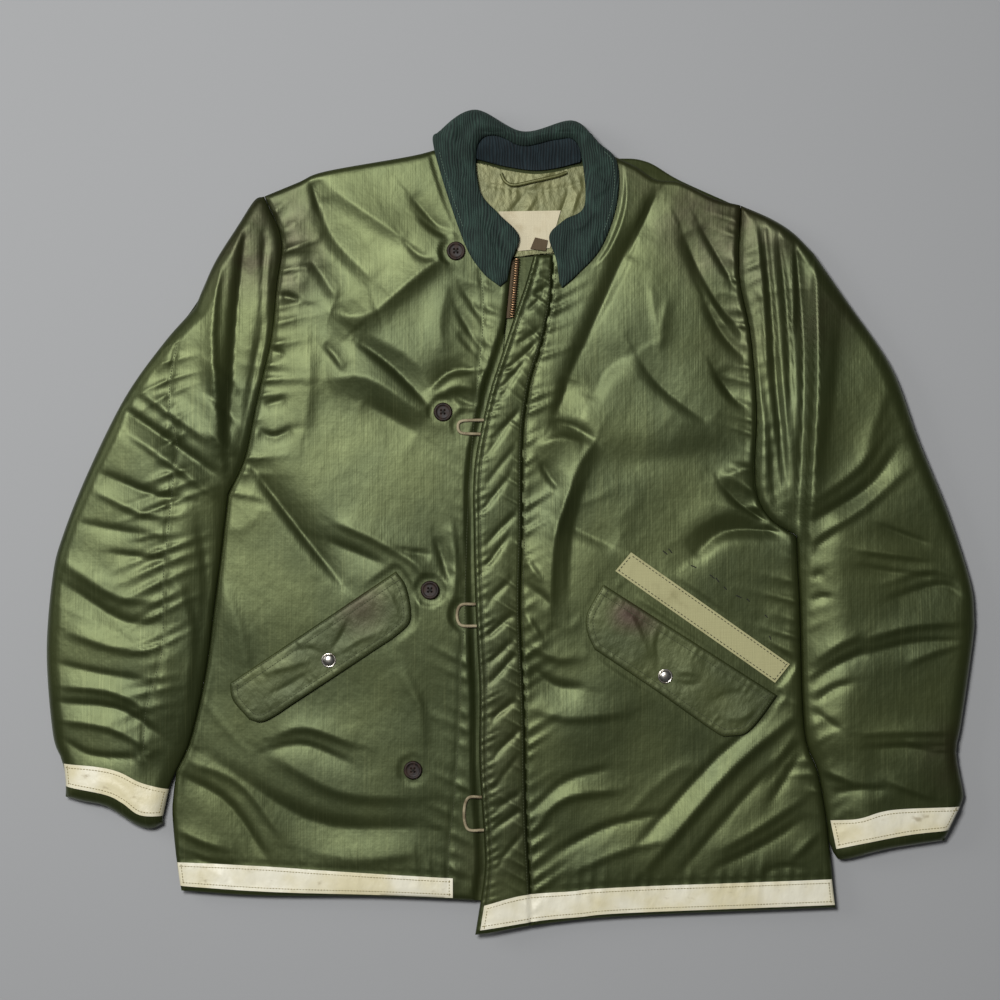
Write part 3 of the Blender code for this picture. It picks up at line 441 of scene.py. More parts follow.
# The stitch row down the right front, beside the zip
ROW_RIGHT = [(-30, 252), (-27, 225), (-27, 197), (-29, 174), (-34, 120), (-41, 40), (-44, -40), (-46, -105),
             (-49, -140), (-50, -182), (-53, -238), (-57, -290), (-61, -321), (-62, -368)]

FOLDS_FRONT_RIGHT = [
    Fold(-191, 327, -178, 286, -135, 240, 26, 11, -3.2, 0.3),
    Fold(-199, 343, -195, 326, -191, 310, 14, 5, -2.4, 0.6),
    Fold(-183, 336, -145, 310, -80, 266, 22, 10, 2.2, 0.4),
    Fold(-100, 327, -74, 298, -58, 292, 16, 6, -2.2, 0.5),
    Fold(-92, 306, -76, 292, -58, 284, 12, 4, -1.6, 0.5),
    Fold(-109, 285, -90, 266, -71, 264, 14, 5, -2.0, 0.5),
    Fold(-56, 275, -100, 240, -141, 205, 13, 34, 4.4, 0.5),
    Fold(-132, 212, -156, 205, -180, 212, 20, 26, 4.4, 0.4),
    Fold(-209, 254, -199, 261, -172, 222, 18, 8, -2.6, 0.4),
    Fold(-216, 306, -210, 262, -214, 214, 12, 20, 1.6, 0.2),
    Fold(-154, 182, -118, 154, -80, 115, 22, 5, -4.2, 0.7),
    Fold(-146, 190, -104, 168, -72, 138, 30, 12, 2.0, 0.3),
    Fold(-186, 142, -142, 144, -80, 104, 28, 19, 4.6, 0.4),
    Fold(-148, 120, -120, 104, -92, 88, 10, 22, -2.4, 0.3),
    Fold(-187, 178, -177, 168, -166, 152, 14, 4, -2.2, 0.7),
    Fold(-200, 172, -202, 130, -206, 92, 9, 24, 1.6, 0.2),
    Fold(-80, 133, -58, 150, -26, 152, 18, 5, -4.2, 0.6),
    Fold(-76, 120, -58, 134, -34, 134, 20, 6, 2.4, 0.5),
    Fold(-58, 128, -44, 120, -29, 116, 12, 5, -2.8, 0.5),
    Fold(-54, 214, -38, 186, -24, 168, 14, 4, -2.2, 0.6),
    Fold(-52, 190, -38, 172, -24, 158, 12, 4, -1.8, 0.6),
    Fold(-50, 236, -36, 214, -26, 196, 12, 4, -1.8, 0.6),
    Fold(-236, 226, -224, 226, -210, 222, 4, 12, -3.0, 0.7),
    Fold(-242, 173, -234, 171, -226, 167, 4, 10, -2.0, 0.7),
    Fold(-245, 117, -236, 120, -224, 124, 4, 10, -1.8, 0.6),
    Fold(-251, 92, -236, 86, -218, 94, 4, 12, -2.6, 0.7),
    Fold(-62, 240, -70, 200, -66, 168, 9, 16, 1.4, 0.3),
    Fold(-261, 58, -212, -7, -167, -64, 26, 8, -4.8, 0.7),
    Fold(-184, -17, -155, -30, -126, -42, 8, 24, -2.8, 0.7),
    Fold(-176, 0, -148, -12, -120, -26, 17, 5, 1.92, 0.6),
    Fold(-130, -21, -100, -38, -83, -56, 19, 6, 2.4, 0.6),
    Fold(-116, -26, -98, -30, -78, -32, 4, 12, -2, 0.8),
    Fold(-75, -15, -68, -38, -61, -60, 17, 5, -2.4, 0.7),
    Fold(-58, 0, -54, -50, -58, -90, 5, 17, 1.92, 0.6),
    Fold(-290, -60, -270, -110, -262, -170, 10, 34, 2, 0.2),
    Fold(-236, -215, -205, -206, -153, -223, 18, 6, 2.4, 0.6),
    Fold(-244, -228, -206, -222, -160, -240, 4, 14, -1.7, 0.7),
    Fold(-331, -252, -283, -280, -242, -338, 6, 19, -3.1, 0.7),
    Fold(-322, -240, -270, -262, -226, -318, 18, 6, 2, 0.6),
    Fold(-305, -232, -197, -299, -88, -306, 10, 30, -3.1, 0.4),
    Fold(-240, -232, -170, -270, -96, -276, 27, 8, 1.9, 0.3),
    Fold(-333, -308, -308, -320, -283, -328, 15, 5, 2, 0.7),
    Fold(-326, -330, -300, -341, -272, -344, 3, 11, -1.7, 0.7),
    Fold(-200, -330, -150, -338, -90, -330, 23, 7, 1.4, 0.3),
    Fold(-110, -140, -92, -180, -86, -225, 7, 23, 1.4, 0.3),
]
FOLDS_FRONT_LEFT = [
    Fold(124, 290, 98, 230, 58, 142, 34, 10, -5.0, 0.4),
    Fold(58, 146, 52, 124, 44, 106, 26, 7, -3.6, 0.5),
    Fold(148, 330, 132, 296, 116, 262, 26, 9, -3.6, 0.4),
    Fold(112, 338, 100, 296, 92, 262, 12, 6, 2.2, 0.5),
    Fold(136, 300, 112, 240, 78, 180, 30, 12, 2.2, 0.3),
    Fold(42, 99, 62, 96, 86, 82, 8, 18, -3.6, 0.5),
    Fold(26, 75, 50, 84, 74, 79, 7, 22, 2.8, 0.6),
    Fold(86, 84, 66, 48, 43, -22, 12, 26, 3.2, 0.7),
    Fold(30, 60, 40, 44, 50, 32, 14, 5, -2.4, 0.5),
    Fold(124, 170, 96, 152, 80, 120, 12, 30, -2.6, 0.2),
    Fold(126, 168, 152, 134, 200, 98, 26, 8, -2.8, 0.5),
    Fold(141, 236, 145, 204, 149, 172, 12, 5, 1.0, 0.4),
    Fold(158, 226, 153, 200, 150, 172, 10, 6, 0.9, 0.4),
    Fold(172, 290, 200, 230, 234, 188, 26, 8, -4.2, 0.5),
    Fold(188, 300, 212, 258, 230, 226, 16, 5, -2.6, 0.6),
    Fold(194, 222, 212, 188, 234, 164, 20, 6, -3.0, 0.5),
    Fold(205, 150, 221, 126, 238, 114, 18, 5, -2.8, 0.5),
    Fold(186, 260, 206, 212, 228, 180, 14, 6, 1.8, 0.4),
    Fold(66, 60, 148, 62, 236, 74, 22, 20, -1.8, 0.1),
    Fold(208, 44, 226, 50, 246, 56, 8, 16, 2.6, 0.6),
    Fold(211, 38, 232, 16, 272, -7, 18, 5, -4.0, 0.7),
    Fold(216, 46, 240, 34, 262, 12, 16, 6, 2.2, 0.5),
    Fold(182, -36, 216, -9, 284, -10, 20, 10, -5.6, 0.4),
    Fold(176, -14, 214, 8, 262, -2, 26, 14, 2.0, 0.3),
    Fold(48, 2, 76, -12, 106, -26, 28, 9, -2.8, 0.4),
    Fold(204, 151, 214, 137, 223, 123, 14, 4, -1.6, 0.5),
    Fold(61, 35, 45, -20, 40, -98, 7, 22, 3.2, 0.6),
    Fold(76, 40, 62, -14, 58, -80, 22, 7, -2, 0.4),
    Fold(14, -35, 24, -48, 32, -59, 4, 14, 2, 0.7),
    Fold(14, -90, 24, -105, 32, -119, 4, 14, 2, 0.7),
    Fold(14, -62, 30, -72, 42, -84, 4, 12, -1.6, 0.7),
    Fold(20, -145, 45, -163, 74, -166, 6, 19, -2.7, 0.4),
    Fold(16, -120, 44, -136, 70, -136, 19, 6, 2.08, 0.6),
    Fold(18, -186, 60, -196, 120, -190, 17, 5, 1.4, 0.3),
    Fold(21, -311, 53, -278, 110, -268, 13, 4, 2.4, 0.6),
    Fold(24, -286, 56, -258, 100, -246, 4, 11, -1.6, 0.6),
    Fold(40, -333, 97, -304, 151, -291, 4, 13, -2.4, 0.7),
    Fold(60, -352, 110, -330, 160, -318, 11, 4, 1.5, 0.6),
    Fold(290, -190, 222, -248, 134, -350, 5, 17, 3.6, 0.4),
    Fold(268, -186, 206, -236, 124, -326, 13, 4, -2.1, 0.6),
    Fold(298, -214, 240, -268, 168, -352, 13, 4, -2.1, 0.6),
    Fold(259, -281, 275, -256, 290, -231, 4, 11, -2.4, 0.7),
    Fold(250, -262, 268, -240, 284, -214, 8, 3, 1.5, 0.6),
    Fold(205, -346, 257, -320, 290, -298, 4, 13, -2.4, 0.7),
    Fold(212, -328, 256, -302, 294, -276, 11, 4, 1.9, 0.6),
    Fold(283, -337, 295, -325, 307, -313, 10, 3, 1.8, 0.7),
    Fold(250, -352, 272, -344, 296, -346, 3, 8, -1.2, 0.6),
]


def fold_height(points, folds):
    """Sum of the folds at each point: across each fold a bell with its own width on each side, part of it
    drawn up to a sharp line, and along it a rise from nothing at one end and back to nothing at the other."""
    rise = np.zeros(points.shape[:-1])
    for f in folds:
        line = curve([(f.x0, f.y0), (f.x1, f.y1), (f.x2, f.y2)], np.linspace(0, 1, 9))
        span = np.hypot(*np.diff(line, axis=0).T).sum()
        offset, along = on_line(points, line)
        across = offset / np.where(offset > 0, f.left, f.right)
        bell = (1 - f.sharp) * np.exp(-1.4 * across ** 2) + f.sharp * np.exp(-abs(across) * 2.4)
        rise += f.rise * bell * np.sqrt(np.sin(np.pi * np.clip(along / span, 0.02, 0.98)))
    return rise


def crumple(points, size, seed, turn=0.0, stretch=1.0):
    """Soft random ups and downs from -1 to 1, a size apart and stretched along a direction: random values at
    the corners of a square net, blended smoothly between them."""
    angle = np.radians(turn)
    along = (points @ (np.cos(angle), np.sin(angle))) / size / stretch + 64
    across = (points @ (-np.sin(angle), np.cos(angle))) / size + 64
    net = np.random.default_rng(seed).uniform(-1, 1, (256, 256))
    i, j = np.floor(along).astype(int), np.floor(across).astype(int)
    s, t = along - i, across - j
    s, t = s * s * (3 - 2 * s), t * t * (3 - 2 * t)
    i, j = i % 255, j % 255
    return ((net[i, j] * (1 - s) + net[i + 1, j] * s) * (1 - t)
            + (net[i, j + 1] * (1 - s) + net[i + 1, j + 1] * s) * t)


def wrinkles(points, seed, turn):
    """Small wrinkles under a millimetre high, and broad swells: sharp ridges where one crumple changes sign,
    bent by another, here and there."""
    bent = points + 9 * np.stack([crumple(points, 45, seed + 1), crumple(points, 45, seed + 2)], -1)
    fine = (1 - np.minimum(abs(crumple(bent, 34, seed, turn, 2.6)) / 0.4, 1)) ** 2
    rough = crumple(points, 90, seed + 4)
    return 0.7 * fine * np.clip(rough, 0, 1) + 1.6 * crumple(points, 62, seed + 5, turn, 1.6)


def puckers(points, line, step, reach, rise, seed, lean=0.0, sides=(1, 1)):
    """A sewn row pulled into the padding: a groove along the line, and sharp puckers across it that lean over
    by lean, come at uneven steps and reach unevenly far; sides says how strong they are left and right."""
    offset, along = on_line(points, line)
    groove = -0.3 * abs(rise) * np.exp(-(offset / 2.6) ** 2)
    count = np.arange(400)
    marks = np.random.default_rng(seed).uniform(-0.5, 0.5, (3, 400))
    place = (along + lean * offset) / step + 100
    place = place + 0.5 * np.interp(place, count, marks[0])
    height = np.interp(place, count, 0.7 + 1.2 * marks[1])
    far = reach * np.interp(place, count, 1 + 1.3 * marks[2])
    strong = np.where(offset > 0, sides[0], sides[1])
    wave = 0.75 - abs(np.sin(np.pi * place)) ** 0.8
    return groove + rise * strong * height * wave * np.exp(-(abs(offset) / far) ** 1.5) * np.minimum(
        abs(offset) / 3.0, 1)


def crown(points, loop, low, high, radius):
    """A height that starts low at the loop and rounds up to high over the radius."""
    reach = np.clip(-outside(points, loop) / radius, 0, 1)
    return low + (high - low) * np.sqrt(1 - (1 - reach) ** 2)


def capped(points, height, covers, margin=5.0):
    """Height pressed down under each cover: a loop, the height under it and the slope beside it."""
    for loop, under, slope in covers:
        height = np.minimum(height, under + slope * np.maximum(outside(points, loop) - margin, 0))
    return height


def near(points, place, radius):
    """1 at a place, fading to 0 at a radius round it."""
    far = np.hypot(points[..., 0] - place[0], points[..., 1] - place[1])
    t = np.clip(1 - far / radius, 0, 1)
    return t * t * (3 - 2 * t)


def matched(count, *curves):
    """A side from curves that follow each other, cut evenly into count steps in all."""
    lengths = np.array([length(c) for c in curves])
    counts = np.maximum(np.round(lengths / lengths.sum() * count), 1).astype(int)
    counts[-1] = count - counts[:-1].sum()
    return side(*[curve(c, np.linspace(0, 1, n + 1)) for c, n in zip(curves, counts)])


STEP = 2.6              # between a panel's points
ARM_RIGHT_ROWS = int(length(ARMHOLE_RIGHT) / STEP)
SIDE_RIGHT_ROWS = int(length(SIDE_RIGHT) / STEP)
ARM_LEFT_ROWS = int(length(ARMHOLE_LEFT) / STEP)
SIDE_LEFT_ROWS = int(length(SIDE_LEFT) / STEP)
armhole_right = curve(ARMHOLE_RIGHT, np.linspace(0, 1, ARM_RIGHT_ROWS + 1))
side_right = curve(SIDE_RIGHT, np.linspace(0, 1, SIDE_RIGHT_ROWS + 1))
armhole_left = curve(ARMHOLE_LEFT, np.linspace(0, 1, ARM_LEFT_ROWS + 1))
side_left = curve(SIDE_LEFT, np.linspace(0, 1, SIDE_LEFT_ROWS + 1))
front_cols = np.linspace(0, 1, int(300 / STEP) + 1)
right_side = side(armhole_right, side_right, even(SIDE_RIGHT_LOW, STEP))
left_side = side(armhole_left, side_left, even(SIDE_LEFT_LOW, STEP))
front_right = parted(patch(curve(SHOULDER_RIGHT, front_cols), curve(HEM_RIGHT, front_cols), right_side,
                           matched(len(right_side) - 1, NECK_RIGHT, INNER_RIGHT)))
front_left = parted(patch(curve(SHOULDER_LEFT, front_cols), curve(HEM_LEFT, front_cols),
                          matched(len(left_side) - 1, NECK_LEFT, FLY_SEAM), left_side))
fly_rows = np.linspace(0, 1, int(length(FLY_SEAM) / 2.0) + 1)
fly_cols = np.linspace(0, 1, 29)
fly = parted(patch(curve(FLY_TOP_EDGE, fly_cols), curve(FLY_BOTTOM, fly_cols), curve(FLY_EDGE, fly_rows),
                   curve(FLY_SEAM, fly_rows)))

FLY_UNDER = 11.8
FLAP_UNDER = 15.8
FLAP_RIGHT_TOP = [(-280, -161), (-114, -49)]
FLAP_RIGHT_BOTTOM = [(-261, -197), (-249, -200), (-235, -194), (-208, -176), (-118, -117)]
FLAP_RIGHT_SIDE = [(-280, -161), (-277, -178), (-261, -197)]
FLAP_RIGHT_FRONT = [(-114, -49), (-104, -64), (-99, -89), (-102, -103), (-118, -117)]
FLAP_LEFT_TOP = [(93, -62), (267, -173)]
FLAP_LEFT_BOTTOM = [(84, -127), (145, -168), (205, -210), (219, -214)]
FLAP_LEFT_FRONT = [(93, -62), (84, -77), (76, -94), (77, -111), (84, -127)]
FLAP_LEFT_SIDE = [(267, -173), (252, -194), (236, -211), (219, -214)]
NAME_TAPE_TOP = [(121, -30), (280, -142)]
NAME_TAPE_BOTTOM = [(105, -49), (265, -161)]
COLLAR_UNDER = 15.4
PRESSED = 0.4           # how far a front is pressed down below what lies on it
COLLAR_OUTER = [(-10, 235), (-29, 251), (-48, 284), (-76, 372), (-70, 392), (-35, 413), (13, 391), (63, 402),
                (89, 379), (107, 360), (107, 319), (91, 274), (66, 246), (52, 234)]
COLLAR_INNER = [(-3, 241), (2, 262), (9, 286), (-12, 309), (-29, 329), (-34, 361), (-29, 381), (-12, 385),
                (13, 375), (45, 381), (64, 381), (72, 361), (74, 316), (54, 302), (39, 286), (46, 262),
                (49, 240)]
BUTTONS = [(-54, 271), (-67, 110), (-80, -68), (-97, -248)]
BUTTON_RADIUS = 9.5
# Each cord loop: y where it leaves the fly's edge, y where it returns, and x of its far end
LOOPS = [(102, 88, -52), (-82, -104, -53), (-275, -308, -46)]


def even_patch(top, bottom, left, right, rows, cols):
    """A patch between four curves, cut evenly."""
    across, down = np.linspace(0, 1, cols + 1), np.linspace(0, 1, rows + 1)
    return parted(patch(curve(top, across), curve(bottom, across), curve(left, down), curve(right, down)))


def circle(centre, radius, sides=24):
    """A loop round a point."""
    turn = np.linspace(0, 2 * np.pi, sides, endpoint=False)
    return np.column_stack([centre[0] + radius * np.cos(turn), centre[1] + radius * np.sin(turn)])


flap_right = even_patch(FLAP_RIGHT_TOP, FLAP_RIGHT_BOTTOM, FLAP_RIGHT_SIDE, FLAP_RIGHT_FRONT, 36, 120)
flap_left = even_patch(FLAP_LEFT_TOP, FLAP_LEFT_BOTTOM, FLAP_LEFT_FRONT, FLAP_LEFT_SIDE, 36, 120)
name_tape = even_patch(NAME_TAPE_TOP, NAME_TAPE_BOTTOM, [NAME_TAPE_TOP[0], NAME_TAPE_BOTTOM[0]],
                       [NAME_TAPE_TOP[1], NAME_TAPE_BOTTOM[1]], 12, 96)
collar = parted(patch(curve(COLLAR_OUTER, np.linspace(0, 1, 301)), curve(COLLAR_INNER, np.linspace(0, 1, 301)),
                      curve([COLLAR_OUTER[0], COLLAR_INNER[0]], np.linspace(0, 1, 29)),
                      curve([COLLAR_OUTER[-1], COLLAR_INNER[-1]], np.linspace(0, 1, 29))))

collar_cover = (rim_loop(collar, 3), COLLAR_UNDER - PRESSED, 0.5)
covers_right = [(rim_loop(fly, 4), FLY_UNDER - PRESSED, 1.0), collar_cover,
                (rim_loop(flap_right, 2), FLAP_UNDER - PRESSED, 0.5)]
covers_right += [(circle(c, BUTTON_RADIUS), FRONT_TOP - 0.1, 0.8) for c in BUTTONS]
covers_right += [(circle(((far - 30) / 2, (y0 + y1) / 2), 12), 14.4, 0.6) for y0, y1, far in LOOPS]
covers_left = [collar_cover, (rim_loop(flap_left, 2), FLAP_UNDER - PRESSED, 0.5),
               (rim_loop(name_tape, 2), FRONT_TOP, 0.5)]
row_right = even(ROW_RIGHT, 8)
hem_right_line = even([(-333, -338), (-250, -342), (-174, -347), (-57, -354)], 8)
hem_left_line = even([(12, -371), (60, -367), (110, -363), (322, -355)], 8)
fly_seam_line = even(FLY_SEAM, 8)
arm_right_line = even(ARMHOLE_RIGHT, 8)
arm_left_line = even(ARMHOLE_LEFT + SIDE_LEFT[1:], 8)
front_right_loop = rim_loop(front_right, 5)
front_left_loop = rim_loop(front_left, 5)


def front_right_height(points):
    """Top of the right front."""
    fade = np.clip(-outside(points, front_right_loop) / 12 + 0.2, 0, 1)
    height = crown(points, front_right_loop, FRONT_EDGE, FRONT_TOP, 7.0)
    height += (fold_height(points, FOLDS_FRONT_RIGHT) + wrinkles(points, 11, -48)) * fade
    height += puckers(points, row_right, 17, 16, 1.9, 5, -0.4, (1.0, 0.5))
    height += puckers(points, arm_right_line, 19, 19, 2.4, 6, 0.3)
    height += puckers(points, hem_right_line, 14, 13, 1.3, 16, 0.2)
    return capped(points, height, covers_right)


def front_left_height(points):
    """Top of the left front."""
    fade = np.clip(-outside(points, front_left_loop) / 12 + 0.2, 0, 1)
    seam = np.exp(-(on_line(points, fly_seam_line)[0] / 12) ** 2)
    height = crown(points, front_left_loop, FRONT_EDGE + 2.2 * seam, FRONT_TOP, 6.0)
    height += (fold_height(points, FOLDS_FRONT_LEFT) + wrinkles(points, 31, 48)) * fade
    height += puckers(points, fly_seam_line, 15, 16, 2.8, 7, 0.6)
    height += puckers(points, arm_left_line, 18, 20, 2.6, 8, -0.3)
    height += puckers(points, hem_left_line, 14, 13, 1.3, 17, -0.2)
    return capped(points, height, covers_left)


def soil(points):
    """Where the satin has browned: the shoulders, the armholes' heads and the left cuff."""
    marks = [((-250, 300), 90, 0.9), ((-225, 250), 70, 0.5), ((-290, 260), 60, 0.5), ((190, 320), 90, 0.6),
             ((235, 290), 110, 0.8), ((330, 215), 60, 0.4), ((230, 180), 60, 0.4), ((446, -235), 60, 0.9),
             ((300, 200), 60, 0.4), ((120, 350), 60, 0.4), ((-20, -340), 70, 0.35)]
    return 0.75 * np.clip(sum(share * near(points, place, radius) for place, radius, share in marks), 0, 1)


height_right = front_right_height(front_right)
height_left = front_left_height(front_left)
right_front = make_piece("front_right_panel", padded_panel(front_right, height_right, FRONT_UNDER), shell,
                         ["front_right"], {"soil": soil(front_right)})
left_front = make_piece("front_left_panel", padded_panel(front_left, height_left, FRONT_UNDER), shell,
                        ["front_left"], {"soil": soil(front_left)})


# The sleeves: padded satin tubes, set in at the armholes and laid flat. Each lies in a deep fold beside its
# armhole, and the right one shows the seam down its elbow, drawn up into puckers.
SLEEVE_TOP = 22.5
SLEEVE_EDGE = 11.5
SLIT_LOW, SLIT_HIGH = 9.0, 10.6
SLEEVE_RIGHT_TOP = [(-315, 215), (-307, 235), (-294, 263), (-273, 296), (-256, 322), (-246, 326)]
SLEEVE_RIGHT_OUTER = [(-315, 215), (-347, 179), (-386, 124), (-423, 49), (-448, -14), (-458, -54), (-464, -130),
                      (-458, -211), (-449, -238), (-445, -255), (-445, -275)]
SLEEVE_RIGHT_INNER = [(-334, -249), (-341, -266), (-347, -290), (-347, -302)]
CUFF_RIGHT = [(-445, -275), (-428, -280), (-404, -285), (-377, -302), (-360, -307), (-347, -302)]
SLEEVE_LEFT_TOP = [(231, 317), (261, 304), (283, 290), (304, 269)]
SLEEVE_LEFT_OUTER = [(304, 269), (336, 223), (382, 155), (409, 83), (438, 12), (461, -59), (465, -92),
                     (464, -118), (452, -202), (447, -230), (453, -265), (453, -280), (435, -319)]
SLEEVE_LEFT_INNER = [(319, -320), (324, -332)]
CUFF_LEFT = [(324, -332), (334, -338), (377, -328), (408, -323), (435, -319)]
ELBOW_SEAM = [(-332, 177), (-339, 142), (-339, 109), (-332, 76), (-336, 42), (-341, -7), (-346, -57),
              (-347, -125), (-356, -161), (-364, -194), (-366, -235)]
FOLDS_SLEEVE_RIGHT = [
    Fold(-389, 116, -334, 77, -289, 44, 7, 22, -4.4, 0.7),
    Fold(-380, 138, -334, 104, -296, 78, 16, 5, 2.4, 0.6),
    Fold(-380, 88, -330, 52, -290, 22, 16, 5, 2.7, 0.6),
    Fold(-407, 49, -357, 28, -321, 23, 6, 18, -3.1, 0.7),
    Fold(-414, 30, -366, 8, -330, 6, 14, 4, 2, 0.6),
    Fold(-430, 0, -390, -8, -350, -14, 5, 16, -1.7, 0.6),
    Fold(-399, -30, -371, -34, -344, -37, 4, 14, -2, 0.7),
    Fold(-376, -18, -360, -14, -342, -12, 10, 3, 1.5, 0.7),
    Fold(-447, -60, -387, -98, -351, -100, 8, 23, -3.1, 0.6),
    Fold(-448, -40, -392, -74, -352, -78, 18, 6, 2.2, 0.4),
    Fold(-440, -110, -400, -124, -356, -130, 16, 5, 1.9, 0.4),
    Fold(-452, -140, -410, -150, -360, -158, 4, 14, -1.7, 0.6),
    Fold(-452, -179, -390, -186, -347, -214, 5, 16, -2.7, 0.7),
    Fold(-450, -164, -398, -170, -356, -190, 14, 4, 2, 0.6),
    Fold(-450, -198, -400, -206, -360, -226, 13, 4, 1.9, 0.6),
    Fold(-444, -217, -417, -232, -367, -235, 4, 13, -2, 0.7),
    Fold(-330, -60, -318, -110, -322, -170, 5, 16, 1.7, 0.4),
    Fold(-312, 0, -304, -60, -308, -120, 14, 4, -1.7, 0.4),
    Fold(-264, 300, -276, 190, -284, 66, 34, 8, -6.5, 0.7),
    Fold(-246, 290, -248, 200, -262, 100, 10, 4, -3, 0.6),
    Fold(-252, 180, -262, 120, -272, 70, 9, 4, -3, 0.6),
    Fold(-242, 268, -243, 230, -246, 196, 3, 9, 2.7, 0.4),
    Fold(-288, 265, -296, 180, -286, 60, 5, 16, 3.4, 0.6),
    Fold(-300, 160, -282, 140, -272, 128, 4, 14, 2, 0.6),
    Fold(-304, 130, -286, 112, -272, 96, 13, 4, -2.4, 0.7),
    Fold(-360, 160, -340, 196, -310, 230, 18, 6, 1.7, 0.3),
    Fold(-300, 90, -286, 76, -276, 66, 10, 3, 2, 0.7),
]
FOLDS_SLEEVE_LEFT = [
    Fold(299, 0, 356, 35, 388, 78, 6, 20, -3.7, 0.7),
    Fold(303, 20, 350, 56, 376, 96, 14, 4, 2.2, 0.6),
    Fold(304, -18, 356, 16, 400, 56, 14, 4, 2.2, 0.6),
    Fold(298, -33, 312, -19, 327, -5, 4, 13, -2, 0.7),
    Fold(345, -28, 382, -33, 420, -37, 14, 4, 2.4, 0.7),
    Fold(366, -2, 392, -12, 420, -22, 4, 13, -2, 0.7),
    Fold(348, -44, 384, -50, 424, -54, 4, 13, -1.9, 0.6),
    Fold(377, -77, 431, -62, 454, -77, 5, 16, -2.4, 0.7),
    Fold(370, -62, 420, -48, 448, -56, 13, 4, 1.7, 0.6),
    Fold(351, -118, 402, -104, 454, -100, 16, 5, 2.4, 0.6),
    Fold(346, -134, 400, -120, 452, -118, 4, 14, -2, 0.7),
    Fold(397, -142, 423, -130, 454, -121, 13, 4, 1.7, 0.6),
    Fold(304, -155, 328, -141, 356, -127, 5, 16, -3.1, 0.7),
    Fold(304, -140, 326, -124, 350, -112, 13, 4, 2, 0.6),
    Fold(304, -182, 322, -166, 343, -159, 4, 13, -2, 0.7),
    Fold(304, -188, 317, -198, 331, -207, 4, 13, -2, 0.7),
    Fold(302, -56, 306, -53, 312, -48, 3, 9, -1.7, 0.7),
    Fold(300, -78, 310, -74, 320, -74, 3, 9, -1.7, 0.7),
    Fold(356, -225, 400, -224, 446, -224, 4, 14, -2.4, 0.7),
    Fold(350, -212, 396, -210, 446, -210, 13, 4, 1.9, 0.6),
    Fold(394, -219, 420, -226, 446, -226, 10, 3, 1.7, 0.6),
    Fold(307, -248, 326, -254, 346, -262, 13, 4, 2, 0.6),
    Fold(322, -270, 350, -266, 374, -266, 4, 13, -2, 0.7),
    Fold(375, -258, 400, -268, 424, -276, 13, 4, 1.9, 0.6),
    Fold(284, 290, 295, 160, 289, -24, 8, 40, -7, 0.7),
    Fold(254, 300, 264, 190, 274, 40, 4, 11, -3.5, 0.6),
    Fold(268, 288, 278, 200, 282, 90, 4, 9, -3.5, 0.6),
    Fold(248, 220, 256, 120, 268, 10, 4, 9, -3.2, 0.6),
    Fold(262, 180, 270, 110, 278, 30, 3, 8, -2.8, 0.6),
    Fold(246, 296, 254, 230, 258, 150, 3, 10, 2.4, 0.4),
    Fold(244, 150, 256, 96, 258, 40, 4, 13, 2.4, 0.4),
    Fold(282, 276, 284, 222, 280, 180, 3, 9, 2, 0.6),
    Fold(305, 262, 305, 130, 295, -36, 34, 6, 6, 0.7),
    Fold(330, 200, 322, 120, 312, 50, 22, 7, -1.7, 0.3),
    Fold(376, 130, 362, 90, 352, 56, 6, 18, 1.7, 0.3),
]


def flat_tube(grid, over, is_open, wall_width=8.0):
    """A sleeve: its top at the heights over, a rounded edge down to a flat underside, and a flat space inside
    that opens wherever is_open holds for a rim point, at the cuff and the armhole."""
    rows, cols = over.shape
    edge = rim(rows, cols)
    count = len(edge)
    loop = grid[edge[:, 0], edge[:, 1]]
    high = over[edge[:, 0], edge[:, 1]]
    inner = inset(loop, np.where(is_open, 1.0, wall_width))
    base = inset(loop, np.where(is_open, 0.0, 4.0))
    belly = inset(loop, np.where(is_open, 0.0, 0.6))
    flat = np.zeros(count)
    levels = [(belly, high * 0.4), (base, flat), (inner, flat + SLIT_HIGH), (inner, flat + SLIT_LOW)]
    points = np.vstack([np.dstack([grid, over]).reshape(-1, 3)] + [np.column_stack([xy, z]) for xy, z in levels])
    upper = (edge[:, 0] * cols + edge[:, 1]).tolist()
    mid, ground, roof, floor_ring = ([rows * cols + count * k + n for n in range(count)] for k in range(4))
    faces = tile(rows, cols) + [tuple(reversed(ground)), tuple(floor_ring), tuple(reversed(roof))]
    for k in range(count):
        n = (k + 1) % count
        if is_open[k] and is_open[n]:
            faces += [(upper[k], roof[k], roof[n], upper[n]), (floor_ring[k], mid[k], mid[n], floor_ring[n]),
                      (mid[k], ground[k], ground[n], mid[n])]
            continue
        faces += [(upper[k], mid[k], mid[n], upper[n]), (mid[k], ground[k], ground[n], mid[n]),
                  (roof[k], roof[n], floor_ring[n], floor_ring[k])]
        if is_open[k]:
            faces.append((upper[k], roof[k], floor_ring[k], mid[k]))
        if is_open[n]:
            faces.append((upper[n], mid[n], floor_ring[n], roof[n]))
    return points, faces


def sleeve_openings(grid, armhole_rows, inner_col):
    """True for rim points at the cuff, and for those in the armhole on the sleeve's inner side."""
    rows, cols = grid.shape[:2]
    edge = rim(rows, cols)
    cuff = (edge[:, 0] == rows - 1) & (edge[:, 1] > 2) & (edge[:, 1] < cols - 3)
    armhole = (edge[:, 1] == inner_col) & (edge[:, 0] > 8) & (edge[:, 0] < armhole_rows - 4)
    return cuff | armhole


